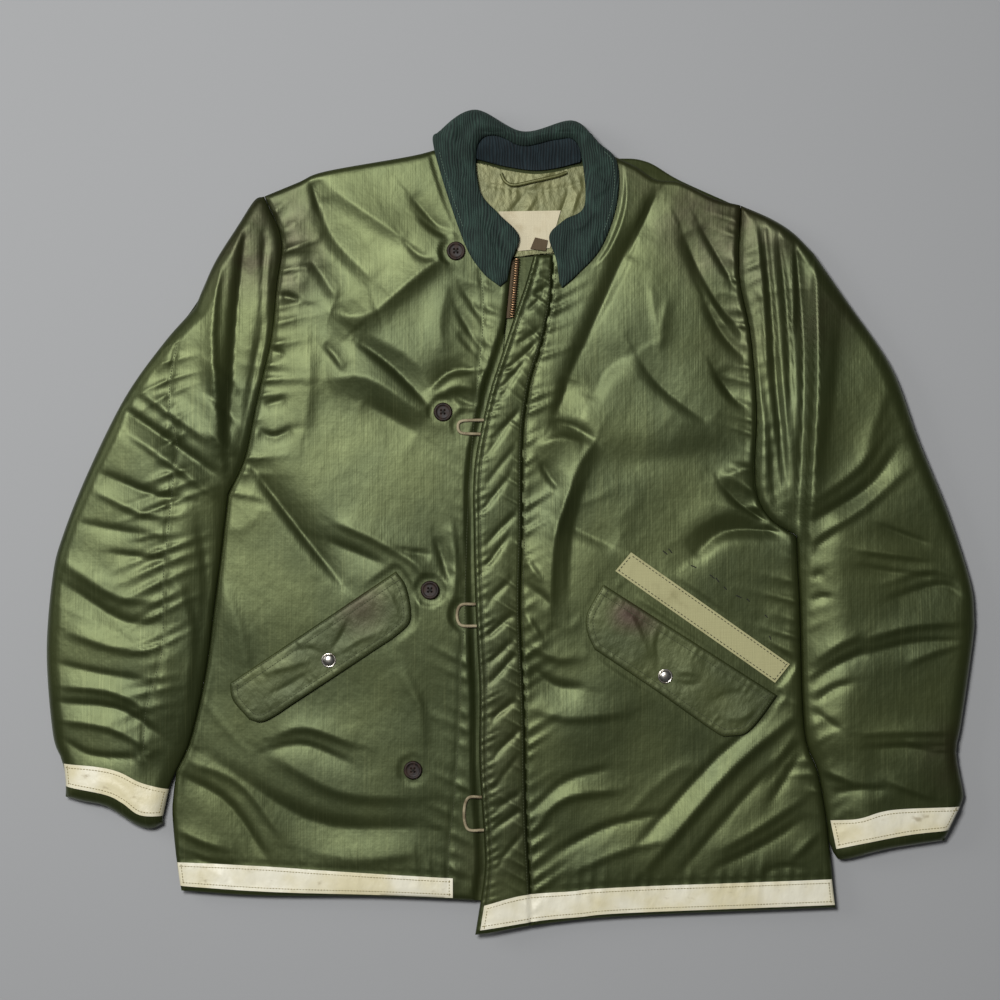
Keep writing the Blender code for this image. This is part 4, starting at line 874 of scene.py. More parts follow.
def relaxed(grid, corner_push, rounds=80):
    """The grid with its inner points each moved to the middle of their neighbours, round after round, and those
    by its first corner, where the outline is nearly straight, pushed inwards."""
    grid = grid.copy()
    for _ in range(rounds):
        grid[1:-1, 1:-1] = (grid[:-2, 1:-1] + grid[2:, 1:-1] + grid[1:-1, :-2] + grid[1:-1, 2:]) / 4
    i, j = np.indices(grid.shape[:2])
    push = i / 4 * np.exp(1 - i / 4) * j / 4 * np.exp(1 - j / 4)
    return grid + push[..., None] * corner_push


sleeve_cols = np.linspace(0, 1, 53)
right_inner = side(armhole_right, side_right, even(SLEEVE_RIGHT_INNER, STEP))
left_inner = side(armhole_left, side_left, even(SLEEVE_LEFT_INNER, STEP))
sleeve_right = relaxed(parted(patch(
    curve(SLEEVE_RIGHT_TOP, sleeve_cols), curve(CUFF_RIGHT, sleeve_cols),
    curve(SLEEVE_RIGHT_OUTER, np.linspace(0, 1, len(right_inner))), right_inner)), (6.0, -4.0))
sleeve_left = relaxed(parted(patch(
    curve(SLEEVE_LEFT_TOP, sleeve_cols), curve(CUFF_LEFT, sleeve_cols), left_inner,
    curve(SLEEVE_LEFT_OUTER, np.linspace(0, 1, len(left_inner))))), (0.0, 0.0))
elbow_line = even(ELBOW_SEAM, 8)
right_inner_line = side(even(ARMHOLE_RIGHT, 8), even(SIDE_RIGHT, 8))
left_inner_line = side(even(ARMHOLE_LEFT, 8), even(SIDE_LEFT, 8))
sleeve_right_loop = rim_loop(sleeve_right, 4)
sleeve_left_loop = rim_loop(sleeve_left, 4)


def sleeve_form(points, loop, inner):
    """A sleeve's padded top: rounded at its outer edge and cuff, and rising slowly from the armhole and side."""
    reach = np.clip(abs(on_line(points, inner)[0]) / 46, 0, 1)
    slow = 16.5 + (SLEEVE_TOP - 16.5) * reach * reach * (3 - 2 * reach)
    return crown(points, loop, SLEEVE_EDGE, np.minimum(slow, SLEEVE_TOP), 14.0)


def sleeve_right_height(points):
    """Top of the right sleeve."""
    fade = np.clip(-outside(points, sleeve_right_loop) / 14, 0, 1)
    height = sleeve_form(points, sleeve_right_loop, right_inner_line)
    height += (fold_height(points, FOLDS_SLEEVE_RIGHT) + wrinkles(points, 51, -30)) * fade
    height += puckers(points, elbow_line, 16, 20, 2.8, 9, 0.5, (0.7, 1.0)) * fade
    height += puckers(points, arm_right_line, 20, 12, 1.6, 10) * fade
    return np.maximum(height, SLEEVE_EDGE)


def sleeve_left_height(points):
    """Top of the left sleeve."""
    fade = np.clip(-outside(points, sleeve_left_loop) / 14, 0, 1)
    height = sleeve_form(points, sleeve_left_loop, left_inner_line)
    height += (fold_height(points, FOLDS_SLEEVE_LEFT) + wrinkles(points, 71, 20)) * fade
    height += puckers(points, arm_left_line, 16, 15, 2.0, 12, 0.4) * fade
    return np.maximum(height, SLEEVE_EDGE)


def make_sleeve(name, grid, height, armhole_rows, inner_col, node):
    """A sleeve's piece: the whole tube, open at the cuff and the armhole."""
    shape = flat_tube(grid, height(grid), sleeve_openings(grid, armhole_rows, inner_col))
    piece = make_piece(name, shape, shell, [node], {"soil": soil(grid)})


make_sleeve("sleeve_right_tube", sleeve_right, sleeve_right_height, len(armhole_right), 52, "sleeve_right")
make_sleeve("sleeve_left_tube", sleeve_left, sleeve_left_height, len(armhole_left), 0, "sleeve_left")


# The fly flap: a doubled strip of satin sewn to the left front. Its free edge has two rows of stitches close
# together, and both its edges are drawn up into puckers that slant up to the seam.
FLY_TOP = 19.0
FLY_ROWS = (2.6, 7.0)   # the stitch rows' distance from the free edge
fly_edge_line = even(FLY_EDGE, 8)
fly_loop = rim_loop(fly, 4)


def fly_folds():
    """The slanting folds of the flap: at uneven steps down its edge a trough with a ridge over it, some long
    and steep and some short."""
    whole = length(FLY_EDGE)
    jitter = np.random.default_rng(3).uniform(-1, 1, (40, 4))
    steps = 30 + np.cumsum(27 + 11 * jitter[:, 0])
    marks = curve(FLY_EDGE, steps[steps < whole - 40] / whole)
    folds = []
    for (x, y), (a, b, c, d) in zip(marks, jitter):
        rise, run = 30 + 14 * b, 40 + 6 * d
        start = 8 + 6 * max(a, 0)
        trough = (x + start, y, x + run / 2, y + rise * 0.35, x + run, y + rise)
        ridge = (x + start, y + 6, x + run / 2, y + 6 + rise * 0.35, x + run, y + 7 + rise)
        folds += [Fold(*trough, 14, 4, -1.7 - 0.8 * c, 0.6), Fold(*ridge, 10, 6, 0.8, 0.4)]
    return folds


FOLDS_FLY = fly_folds()


def fly_height(points):
    """Top of the fly flap."""
    reach = -outside(points, fly_loop)
    apart = abs(on_line(points, fly_seam_line)[0])
    height = crown(points, fly_loop, 15.0, FLY_TOP - 1.6 * np.exp(-(apart / 14) ** 2), 3.0)
    height += fold_height(points, FOLDS_FLY) * np.clip((reach - 2) / 6, 0, 1)
    height += puckers(points, fly_edge_line + (FLY_ROWS[1], 0.0), 9, 7, 1.7, 13, 0.5)
    height += puckers(points, fly_seam_line, 14, 12, 2.0, 14, -0.6)
    return np.maximum(height, FLY_UNDER + 2)


fly_flap = make_piece("fly_flap_strip", padded_panel(fly, fly_height(fly), FLY_UNDER, 0.8), shell,
                      ["fly_flap"], {"soil": 0.25 * near(fly, (0, -250), 260)})


# The collar: dark green fine corduroy over a soft canvas, turned down on both sides and standing in a gathered
# roll behind the neck. Its wales run down it, and a row of stitches follows its outer edge.
COLLAR_FALL_TOP = 22.0
COLLAR_BACK_TOP = 31.0


def make_corduroy(name, deep, light, wale):
    """Corduroy: raised wales with painted shade in the valleys between them, and a worn, paler nap in patches.
    """
    f = Finish(name, Sheen_Weight=0.35, Sheen_Roughness=0.5, Sheen_Tint=light, Roughness=0.85)
    bent = f.noise((45, 25, 25), 2.0) * 0.010
    x = f.add("SeparateXYZ", {}, {"Vector": f.place})
    rib = f.math("SINE", (x + bent) * (2 * np.pi / wale)) * 0.5 + 0.5
    nap = f.limit(f.noise((130, 60, 60), 4.0), 0.4, 0.75)
    # Painted shade: the colour follows the ribs' bump, darker in the valleys between the wales and lighter on
    # their crests; the nap's paler patches are wear.
    colour = f.mix(rib * 0.6 + nap * 0.4, deep, light)
    f.set("Base Color", colour)
    f.bump(rib * 0.7 + f.noise((300, 120, 120), 3.0) * 0.5, 0.0009)
    return f.material


corduroy = make_corduroy("collar_corduroy", paint(16, 28, 25), paint(52, 76, 66), 0.0026)


def ramp(value, start, end):
    """0 before start, 1 past end, smooth between."""
    t = np.clip((value - start) / (end - start), 0, 1)
    return t * t * (3 - 2 * t)


collar_loop = rim_loop(collar, 3)
COLLAR_FOLDS = [
    Fold(-66, 350, -50, 325, -40, 300, 4, 14, 2.9, 0.6),
    Fold(-58, 368, -44, 352, -38, 338, 12, 4, -2.6, 0.7),
    Fold(-36, 310, -22, 282, -12, 256, 4, 14, 3.2, 0.4),
    Fold(-20, 305, -8, 280, -2, 258, 12, 4, -2.9, 0.6),
    Fold(86, 352, 96, 340, 102, 326, 12, 4, -3.2, 0.7),
    Fold(84, 312, 74, 296, 62, 292, 4, 14, 3.7, 0.6),
    Fold(88, 300, 82, 276, 74, 262, 4, 14, 3.2, 0.4),
    Fold(60, 290, 54, 268, 52, 248, 12, 4, -2.9, 0.6),
    Fold(74, 322, 92, 330, 104, 344, 14, 4, 2.6, 0.4),
]


def collar_height(points):
    """Top of the collar: low at its outer edge, a full roll behind the neck, with gathers across that roll."""
    y = points[..., 1]
    full = COLLAR_FALL_TOP + (COLLAR_BACK_TOP - COLLAR_FALL_TOP) * ramp(y, 330, 385)
    edge = np.where(y > 388, 12.0, COLLAR_UNDER + 3.0)
    reach = np.clip(-outside(points, collar_loop) / 12, 0, 1)
    height = edge + (full - edge) * np.sqrt(1 - (1 - reach) ** 2)
    back = ramp(y, 372, 388)
    gathers = crumple(points, 5.0, 21, 78, 3.4) + 0.7 * crumple(points, 9.0, 22, 100, 2.6)
    height += 2.8 * gathers * back * reach + 0.5 * crumple(points, 18, 23) * reach
    return height + fold_height(points, COLLAR_FOLDS) * reach * (1 - back)


collar_under = COLLAR_UNDER * (1 - ramp(collar[..., 1], 377, 388))
collar_piece = make_piece("collar_fall", wall(collar, collar_height(collar), collar_under, 0.8), corduroy,
                          ["collar"])


# The collar's stand, seen inside the neck: the same cloth with its ribs upright, in darker colours that paint
# the shade inside the neck. It is a slanting band that fills the neck up to the collar's inner edge, where it is
# sewn to the collar.
stand_top = curve(COLLAR_INNER, np.linspace(0, 1, 301))
stand_top = stand_top[stand_top[:, 1] > 364]
STAND_BOTTOM = [(-33, 363), (-5, 356), (23, 352), (45, 354), (70, 360)]
# Painted shade: the stand's corduroy is a darker copy of the collar's, for the shade inside the neck.
stand_shaded_corduroy = make_corduroy("stand_cloth", paint(10, 20, 24), paint(30, 48, 54), 0.0030)
stand = even_patch(stand_top[::8], STAND_BOTTOM, [stand_top[0], STAND_BOTTOM[0]],
                   [stand_top[::8][-1], STAND_BOTTOM[-1]], 12, 80)
stand_over = 12.0 + 11.0 * ramp(stand[..., 1], 352, 382) + 0.6 * crumple(stand, 5.0, 25, 90, 4.0)
stand_piece = make_piece("collar_stand_band", wall(stand, stand_over, BACK_TOP + LAY_GAP), stand_shaded_corduroy,
                         ["collar_stand"])


# The lining that shows in the neck: light olive satin, quilted in slanting channels, with a puckered seam
# across it. It lies on the back panel, and its edges run in under the collar.
LINING_TOP = 10.5
LINING_TOP_EDGE = [(-64, 358), (-33, 361), (-5, 354), (23, 350), (45, 352), (70, 358), (99, 358)]
LINING_RIGHT = [(-64, 358), (-40, 322), (-12, 288), (2, 263)]
LINING_LEFT = [(99, 358), (90, 332), (65, 292), (43, 268)]
LINING_SEAM = [(-40, 342), (-12, 336), (20, 332), (50, 334), (76, 341)]
FOLDS_LINING = [
    Fold(16, 330, 6, 318, -4, 306, 8, 3, -1.2, 0.7),
    Fold(26, 328, 20, 316, 12, 304, 3, 8, 1.12, 0.4),
    Fold(58, 332, 54, 318, 48, 306, 8, 3, -1.12, 0.7),
    Fold(70, 336, 66, 322, 62, 310, 3, 8, 1.12, 0.4),
    Fold(44, 352, 30, 342, 20, 333, 3, 8, 1.2, 0.6),
]


def make_lining():
    """Light olive satin with a fine crumple."""
    f = Finish("lining_satin", Metallic=0.3)
    patchy = f.limit(f.noise((60, 60, 60), 3.0), 0.3, 0.7)
    f.set("Base Color", f.mix(patchy, paint(92, 94, 52), paint(108, 108, 64)))
    f.set("Roughness", f.noise((80, 80, 80), 2.0) * 0.1 + 0.4)
    f.bump(f.noise((160, 110, 100), 3.0, 0.4), 0.0007)
    return f.material


lining_finish = make_lining()
across, down = np.linspace(0, 1, 91), np.linspace(0, 1, 61)
lining = parted(patch(curve(LINING_TOP_EDGE, across), curve([LINING_RIGHT[-1], LINING_LEFT[-1]], across),
                      curve(LINING_RIGHT, down), curve(LINING_LEFT, down)), 2.2)
lining_over = LINING_TOP + fold_height(lining, FOLDS_LINING)
lining_over += puckers(lining, even(LINING_SEAM, 5), 8, 6, 1.2, 15)
lining_piece = make_piece("neck_lining_satin", wall(lining, np.minimum(lining_over, 13.0), BACK_TOP + LAY_GAP),
                          lining_finish, ["neck_lining"])


# The neck label: a cream woven label, bare and a little rippled. It lies on the lining, with its lower corners
# cut in by the collar's opening.
LABEL = [(-12, 311), (51, 312), (40, 274), (8, 271)]


def make_woven(name, pale, dirty, threads, relief):
    """Plain woven cloth: crossing threads in its bump, and dirt in patches in its colour."""
    f = Finish(name, Roughness=0.8)
    dirt = f.limit(f.noise((35, 35, 35), 5.0), 0.52, 0.78)
    warp = f.noise((threads, threads * 0.05, 50), 1.0)
    weft = f.noise((threads * 0.05, threads, 50), 1.0)
    f.set("Base Color", f.mix(dirt * 0.75 + warp * 0.15, pale, dirty))
    f.bump(warp * 0.5 + weft * 0.5, relief)
    return f.material


label_finish = make_woven("label_cloth", paint(224, 214, 182), paint(178, 160, 120), 900, 0.0005)
label = even_patch(LABEL[:2], [LABEL[3], LABEL[2]], [LABEL[0], LABEL[3]], [LABEL[1], LABEL[2]], 24, 36)
label_under = 11.6 + 0.5 * crumple(label, 16, 41)
label_piece = make_piece("neck_label", wall(label, label_under + 0.5, label_under, 0.1), label_finish,
                         ["label"])


# The hanging loop: a narrow tube of lining satin, made here as a round cord. It sags from one end to the
# other and is caught at both under the stand.
def cord_shape(points, radius, sides=10):
    """A round cord along points: a ring of points round each, square to the way there, and closed ends."""
    p = np.asarray(points, float)
    way = np.gradient(p, axis=0)
    way /= np.linalg.norm(way, axis=1)[:, None]
    across = np.cross(way, (0, 0, 1.0))
    across /= np.linalg.norm(across, axis=1)[:, None]
    lift = np.cross(across, way)
    turn = np.linspace(0, 2 * np.pi, sides, endpoint=False)
    rings = p[:, None] + radius * (across[:, None] * np.cos(turn)[:, None]
                                   + lift[:, None] * np.sin(turn)[:, None])
    faces = [tuple(range(sides)), tuple(reversed(range((len(p) - 1) * sides, len(p) * sides)))]
    for k in range(len(p) - 1):
        faces += ring_faces([k * sides + n for n in range(sides)], [(k + 1) * sides + n for n in range(sides)])
    return rings.reshape(-1, 3), faces


hanger_way = curve([(-9, 349), (-5, 341), (4, 337), (24, 341), (46, 346), (57, 350)], np.linspace(0, 1, 40))
hanger_rise = 13.6 + 1.6 * np.sin(np.linspace(0, np.pi, 40))
make_piece("hanging_loop", cord_shape(np.column_stack([hanger_way, hanger_rise]), 1.7), lining_finish,
           ["hanger_loop"])


# The zip: brown cotton tape with a row of bronze teeth, which shows between the right front and the fly flap,
# and the end of the other tape above the flap. It has no slider in view.
zip_tape_finish = make_woven("zip_tape_cloth", paint(92, 76, 52), paint(60, 48, 34), 700, 0.0005)
ZIP_EDGE = [(6, 265), (4, 240), (2, 215), (1, 205)]
zip_right = even_patch([(1, 262), (9, 262)], [(-4, 204), (1, 204)], [(1, 262), (-2, 222), (-4, 204)],
                       [(9, 262), (5, 222), (1, 204)], 30, 6)
make_piece("zip_tape_right_strip", wall(zip_right, 11.2, 9.4, 0.1), zip_tape_finish,
           ["zip_tape_right"])
zip_left = even_patch([(25, 285), (38, 282)], [(20, 273), (36, 271)], [(25, 285), (20, 273)],
                      [(38, 282), (36, 271)], 8, 8)
zip_left_under = 13.2 + 0.4 * crumple(zip_left, 6, 43)
make_piece("zip_tape_left_end", wall(zip_left, zip_left_under + 1.1, zip_left_under, 0.1), zip_tape_finish,
           ["zip_tape_left"])


def blocks(centres, ways, sizes):
    """Many small bevelled blocks, each lying along its way, with one length, width and height."""
    long, wide, high = sizes
    along = ways / np.linalg.norm(ways, axis=1)[:, None]
    across = np.cross(along, (0, 0, 1.0))
    across /= np.linalg.norm(across, axis=1)[:, None]
    up = np.cross(across, along)
    corner = np.array([(-1, 0, 0.2), (-0.62, 1, 0.2), (0.62, 1, 0.2), (1, 0, 0.2), (0.62, -1, 0.2),
                       (-0.62, -1, 0.2), (-0.5, 0.45, 1), (0.5, 0.45, 1), (0.5, -0.45, 1), (-0.5, -0.45, 1),
                       (-0.5, 0, -1), (0.5, 0, -1)]) / 2
    points = (centres[:, None] + corner[:, 0, None] * along[:, None] * long
              + corner[:, 1, None] * across[:, None] * wide + corner[:, 2, None] * up[:, None] * high)
    one = np.array([(6, 9, 8), (6, 8, 7), (0, 6, 1), (0, 9, 6), (0, 5, 9), (1, 6, 7), (1, 7, 2), (2, 7, 3),
                    (3, 7, 8), (3, 8, 4), (4, 8, 9), (4, 9, 5), (0, 10, 5), (0, 1, 10), (1, 2, 11), (1, 11, 10),
                    (2, 3, 11), (3, 4, 11), (4, 5, 10), (4, 10, 11)])[:, ::-1]
    faces = (one[None] + 12 * np.arange(len(centres))[:, None, None]).reshape(-1, 3)
    return points.reshape(-1, 3), faces.tolist()


def make_metal(name, bright, dull, rough):
    """Worn metal: duller in patches, with fine scratches."""
    f = Finish(name, Metallic=1.0)
    worn = f.limit(f.noise((420, 420, 420), 4.0), 0.45, 0.7)
    f.set("Base Color", f.mix(worn, bright, dull))
    f.set("Roughness", worn * 0.2 + rough)
    return f.material


bronze = make_metal("zip_bronze", paint(176, 142, 106), paint(104, 78, 58), 0.3)
teeth_line = curve(ZIP_EDGE, np.linspace(0.03, 0.99, 25))
teeth_way = np.gradient(teeth_line, axis=0) @ np.array([[0, 1], [-1, 0]])
teeth_way = np.column_stack([teeth_way, np.zeros(len(teeth_way))])
teeth_at = np.column_stack([teeth_line + (1.2, 0), np.full(len(teeth_line), 12.0)])
make_piece("zip_teeth", blocks(teeth_at, teeth_way, (6.8, 1.6, 2.2)), bronze)


# The pocket flaps: satin doubled over padding, each sewn along its upper edge with a second row below it, and
# stitched round its rim. A snap cap holds each one and draws the cloth in round it.
FLAP_TOP = 20.0
FLAP_RIGHT_SNAP = (-181, -138)
FLAP_LEFT_SNAP = (155, -154)
FOLDS_FLAP_RIGHT = [
    Fold(-250, -150, -226, -146, -200, -138, 14, 4, 1.12, 0.4),
    Fold(-178, -128, -168, -112, -160, -96, 3, 10, -1.04, 0.6),
    Fold(-170, -130, -150, -118, -134, -112, 10, 3, 0.96, 0.4),
    Fold(-200, -150, -220, -162, -240, -172, 12, 4, -0.96, 0.6),
    Fold(-126, -64, -116, -80, -112, -96, 3, 10, 0.96, 0.4),
    Fold(-190, -130, -200, -126, -214, -128, 10, 3, -0.8, 0.6),
]
FOLDS_FLAP_LEFT = [
    Fold(110, -86, 124, -100, 142, -140, 4, 14, 1.12, 0.4),
    Fold(150, -142, 146, -124, 150, -108, 3, 10, -1.04, 0.6),
    Fold(166, -152, 178, -150, 190, -154, 10, 3, 1.04, 0.6),
    Fold(166, -160, 178, -162, 190, -160, 3, 8, -0.96, 0.7),
    Fold(142, -156, 130, -156, 120, -154, 8, 3, -0.96, 0.7),
    Fold(156, -168, 160, -178, 168, -186, 3, 8, 0.96, 0.6),
    Fold(216, -196, 230, -196, 244, -188, 12, 4, 1.12, 0.4),
    Fold(200, -180, 214, -172, 230, -170, 4, 14, -0.8, 0.4),
]


def rim_row(grid, top=9.0, rest=7.0):
    """The stitched line round a flap: its rim moved in, further along its top edge."""
    edge = rim(*grid.shape[:2])
    return inset(rim_loop(grid), np.where(edge[:, 0] == 0, top, rest))


def flap_height_of(grid, snap, folds, seed):
    """The function that gives a flap's top: a low crown, its rim rows, small folds and a dip at its snap."""
    loop = rim_loop(grid, 2)
    row = rim_row(grid)[::6]
    row = np.vstack([row, row[:1]])

    def height(points):
        top = crown(points, loop, FLAP_UNDER + 2.6, FLAP_TOP, 6.0)
        reach = np.clip(-outside(points, loop) / 8, 0, 1)
        top += (fold_height(points, folds) + 0.5 * crumple(points, 20, seed)) * reach
        top += puckers(points, row, 9, 5, 0.8, seed + 1)
        return top - 0.6 * near(points, snap, 22)
    return height


flap_right_height = flap_height_of(flap_right, FLAP_RIGHT_SNAP, FOLDS_FLAP_RIGHT, 45)
flap_left_height = flap_height_of(flap_left, FLAP_LEFT_SNAP, FOLDS_FLAP_LEFT, 47)


def make_flap_cloth():
    """The flaps' satin: the shell's, a little greyer and rubbed, with brown marks by the upper edge."""
    f = Finish("flap_satin", Metallic=0.45)
    broad = f.limit(f.noise((16, 16, 16), 3.0), 0.35, 0.7)
    colour = f.mix(broad, paint(64, 72, 38), paint(80, 87, 48))
    colour = f.mix(f.mark("soil"), colour, paint(66, 48, 36))
    f.set("Base Color", colour)
    f.set("Roughness", f.noise((60, 60, 60), 3.0) * 0.15 + 0.4)
    f.bump(f.noise((120, 90, 60), 3.0, 0.6), 0.0007)
    return f.material


flap_cloth = make_flap_cloth()
flap_soil_right = 0.5 * near(flap_right, (-150, -84), 40)
flap_soil_left = 0.9 * near(flap_left, (116, -92), 26) + 0.5 * near(flap_left, (136, -100), 24)
flap_right_shape = padded_panel(flap_right, flap_right_height(flap_right), FLAP_UNDER, 0.7)
flap_left_shape = padded_panel(flap_left, flap_left_height(flap_left), FLAP_UNDER, 0.7)
flap_right_piece = make_piece("pocket_flap_right_satin", flap_right_shape, flap_cloth,
                              ["pocket_flap_right"], {"soil": flap_soil_right})
flap_left_piece = make_piece("pocket_flap_left_satin", flap_left_shape, flap_cloth,
                             ["pocket_flap_left"], {"soil": flap_soil_left})


# The snap caps: worn nickel, turned from a profile as a dome in a rolled rim. Each sits in the dip that it
# makes in its pocket flap.
def turned(centre, profile, sides=40):
    """A turned piece: each row of the profile is a radius and a height; both its ends close on the axis."""
    turn = np.linspace(0, 2 * np.pi, sides, endpoint=False)
    rings = [np.column_stack([centre[0] + r * np.cos(turn), centre[1] + r * np.sin(turn), np.full(sides, z)])
             for r, z in profile]
    faces = [tuple(reversed(range(sides)))]
    for k in range(len(profile) - 1):
        faces += ring_faces([(k + 1) * sides + n for n in range(sides)], [k * sides + n for n in range(sides)])
    faces.append(tuple(range((len(profile) - 1) * sides, len(profile) * sides)))
    return np.vstack(rings), faces


nickel = make_metal("snap_nickel", paint(200, 196, 186), paint(96, 88, 76), 0.22)
SNAP_RADIUS = 7.4
for name, centre, height in (("snap_right", FLAP_RIGHT_SNAP, flap_right_height),
                             ("snap_left", FLAP_LEFT_SNAP, flap_left_height)):
    foot = height(np.array([centre], float))[0] - 0.1
    angles = np.radians(np.linspace(0, 84, 9))
    dome = [(5.9 * np.cos(a), foot + 1.0 + 2.0 * np.sin(a)) for a in angles]
    roll = [(6.6, foot), (SNAP_RADIUS, foot + 0.4), (SNAP_RADIUS, foot + 0.9), (6.9, foot + 1.3),
            (6.2, foot + 1.2)]
    make_piece(name + "_cap", turned(centre, roll + dome), nickel, [name])


# Cream coated tape, sewn round the hem and the cuffs with a row of stitches along each edge. It has yellowed,
# and it is rubbed and dirty in patches.
TAPE_THICK = 1.0


def make_tape_finish():
    """Coated tape: cream, yellowed in broad patches, with small dark scuffs."""
    f = Finish("reflective_tape", Coat_Roughness=0.4)
    aged = f.limit(f.noise((22, 22, 22), 3.0), 0.35, 0.7)
    scuff = f.limit(f.noise((70, 110, 60), 5.0), 0.62, 0.8)
    colour = f.mix(aged, paint(248, 243, 220), paint(232, 222, 182))
    f.set("Base Color", f.mix(scuff * 0.55, colour, paint(150, 132, 92)))
    f.set("Roughness", scuff * 0.25 + 0.42)
    f.bump(f.noise((140, 90, 60), 4.0), 0.0008)
    return f.material


tape_finish = make_tape_finish()
HEM_TAPE_RIGHT_TOP = [(-333, -340), (-250, -344), (-174, -349), (-57, -356)]
HEM_TAPE_RIGHT_BOTTOM = [(-330, -364), (-240, -370), (-130, -373), (-57, -376)]
HEM_TAPE_LEFT_TOP = [(-26, -383), (12, -373), (60, -369), (110, -365), (322, -357)]
HEM_TAPE_LEFT_BOTTOM = [(-30, -408), (28, -399), (70, -395), (118, -391), (325, -383)]
CUFF_TAPE_RIGHT_TOP = [(-446, -241), (-412, -244), (-390, -249), (-370, -259), (-354, -264), (-341, -267)]
CUFF_TAPE_RIGHT_BOTTOM = [(-444, -264), (-404, -272), (-387, -280), (-370, -292), (-347, -294)]
CUFF_TAPE_LEFT_TOP = [(320, -298), (347, -296), (370, -289), (393, -286), (450, -284)]
CUFF_TAPE_LEFT_BOTTOM = [(326, -327), (339, -324), (362, -319), (400, -312), (438, -308)]


def tape_shape(grid, height, seed):
    """A tape on a panel: its underside just over the panel's top, rippled a little between its stitches."""
    under = height(grid) + 0.3 + 0.35 * (1 + crumple(grid, 9, seed, 90, 2.5))
    return wall(grid, under + TAPE_THICK, under, 0.1)


def make_tape(name, top, bottom, height, node, seed):
    """A tape between its two edges, on a panel's height: its grid and that height are handed back."""
    count = int(length(top) / 2.4)
    grid = even_patch(top, bottom, [top[0], bottom[0]], [top[-1], bottom[-1]], 10, count)
    piece = make_piece(name, tape_shape(grid, height, seed), tape_finish, [node])
    return grid, height


def hem_left_height(points):
    """Top of the fly flap and the left front together."""
    offset = on_line(points, fly_seam_line)[0]
    return np.maximum(np.where(offset < 0, fly_height(points), 0),
                      np.where(offset >= -1, front_left_height(points), 0))


tapes = [
    make_tape("hem_tape_right_strip", HEM_TAPE_RIGHT_TOP, HEM_TAPE_RIGHT_BOTTOM, front_right_height,
              "hem_tape_right", 61),
    make_tape("hem_tape_left_strip", HEM_TAPE_LEFT_TOP, HEM_TAPE_LEFT_BOTTOM, hem_left_height,
              "hem_tape_left", 62),
    make_tape("cuff_tape_right_strip", CUFF_TAPE_RIGHT_TOP, CUFF_TAPE_RIGHT_BOTTOM, sleeve_right_height,
              "cuff_tape_right", 63),
    make_tape("cuff_tape_left_strip", CUFF_TAPE_LEFT_TOP, CUFF_TAPE_LEFT_BOTTOM, sleeve_left_height,
              "cuff_tape_left", 64),
]


# The khaki tape above the left pocket flap: a bare woven strip with grubby patches, sewn to the left front
# all round.
name_finish = make_woven("name_tape_cloth", paint(186, 182, 134), paint(138, 132, 88), 800, 0.0006)
name_under = front_left_height(name_tape) + LAY_GAP
name_piece = make_piece("name_tape_strip", wall(name_tape, name_under + TAPE_THICK, name_under, 0.1),
                        name_finish, ["name_tape"])


# The buttons: dark brown moulded plastic with a raised rim, a dished middle and four holes, sewn on with a
# cross of dark thread.
def make_plastic():
    """Dark brown plastic, streaked and a little worn."""
    f = Finish("button_plastic", Specular_IOR_Level=0.35)
    streak = f.limit(f.noise((300, 120, 100), 3.0, 0.5), 0.35, 0.7)
    f.set("Base Color", f.mix(streak, paint(30, 21, 17), paint(58, 42, 33)))
    f.set("Roughness", streak * 0.15 + 0.5)
    return f.material


plastic = make_plastic()
thread_dark = Finish("dark_thread", Roughness=0.8, Base_Color=paint(26, 26, 18)).material


def button_shape(centre, foot, tilt):
    """A button: its rim and dish turned from a profile on a polar net, with four holes pressed through it."""
    turn = np.linspace(0, 2 * np.pi, 72, endpoint=False)
    radii = np.array([0.25, 1.0, 1.6, 2.2, 2.8, 3.4, 4.0, 5.0, 6.0, 6.6, 7.4, 8.2, 8.9, 9.4])
    r, a = np.meshgrid(radii, turn, indexing="ij")
    x, y = r * np.cos(a), r * np.sin(a)
    rise = 2.4 + 1.2 * np.exp(-((r - 7.8) / 1.1) ** 2) - 1.6 * ramp(r, 8.6, 9.5)
    for hx, hy in ((-1.5, -1.5), (1.5, -1.5), (-1.5, 1.5), (1.5, 1.5)):
        rise = rise - 1.9 * np.exp(-(((x - hx) ** 2 + (y - hy) ** 2) / 0.75 ** 2) ** 2)
    rows = len(radii)
    top = np.dstack([x + centre[0], y + centre[1], foot + rise + tilt * x]).reshape(-1, 3)
    low = np.column_stack([x[-1] * 0.9 + centre[0], y[-1] * 0.9 + centre[1], foot + tilt * x[-1]])
    count = len(turn)
    rings = [[k * count + n for n in range(count)] for k in range(rows + 1)]
    faces = [tuple(rings[0]), tuple(reversed(rings[-1]))]
    for inner, outer in zip(rings, rings[1:]):
        faces += ring_faces(inner, outer)
    return np.vstack([top, low]), faces


TIPPED_BUTTON = 3       # the one that the cloth under it tips
THREAD_LEVEL = 2.75     # of the thread's cross, above a button's foot
for number, centre in enumerate(BUTTONS, 1):
    foot = FRONT_TOP + 0.4
    tilt = 0.0
    if number == TIPPED_BUTTON:
        tilt = 0.12
        foot += 1.2
    make_piece(f"button_{number}_disc", button_shape(centre, foot, tilt), plastic,
               [f"button_{number}"])
    cross = np.array([[*centre, foot + THREAD_LEVEL]] * 2)
    make_piece(f"button_{number}_thread", blocks(cross, np.array([[1.0, 1, 0], [1, -1, 0]]), (4.6, 0.8, 0.8)),
               thread_dark)


# The cord loops: pale round cord with a fine twist, grubby in places. Each is bent into a loop for one of the
# lower buttons, with both its ends sewn in at the fly's edge.
def make_cord_finish():
    """Pale cord with a twist along it, grubby in places."""
    f = Finish("loop_cord", Roughness=0.85)
    dirt = f.limit(f.noise((90, 90, 90), 4.0), 0.4, 0.7)
    f.set("Base Color", f.mix(dirt, paint(172, 160, 128), paint(120, 106, 80)))
    f.bump(f.noise((900, 900, 400), 2.0), 0.0006)
    return f.material


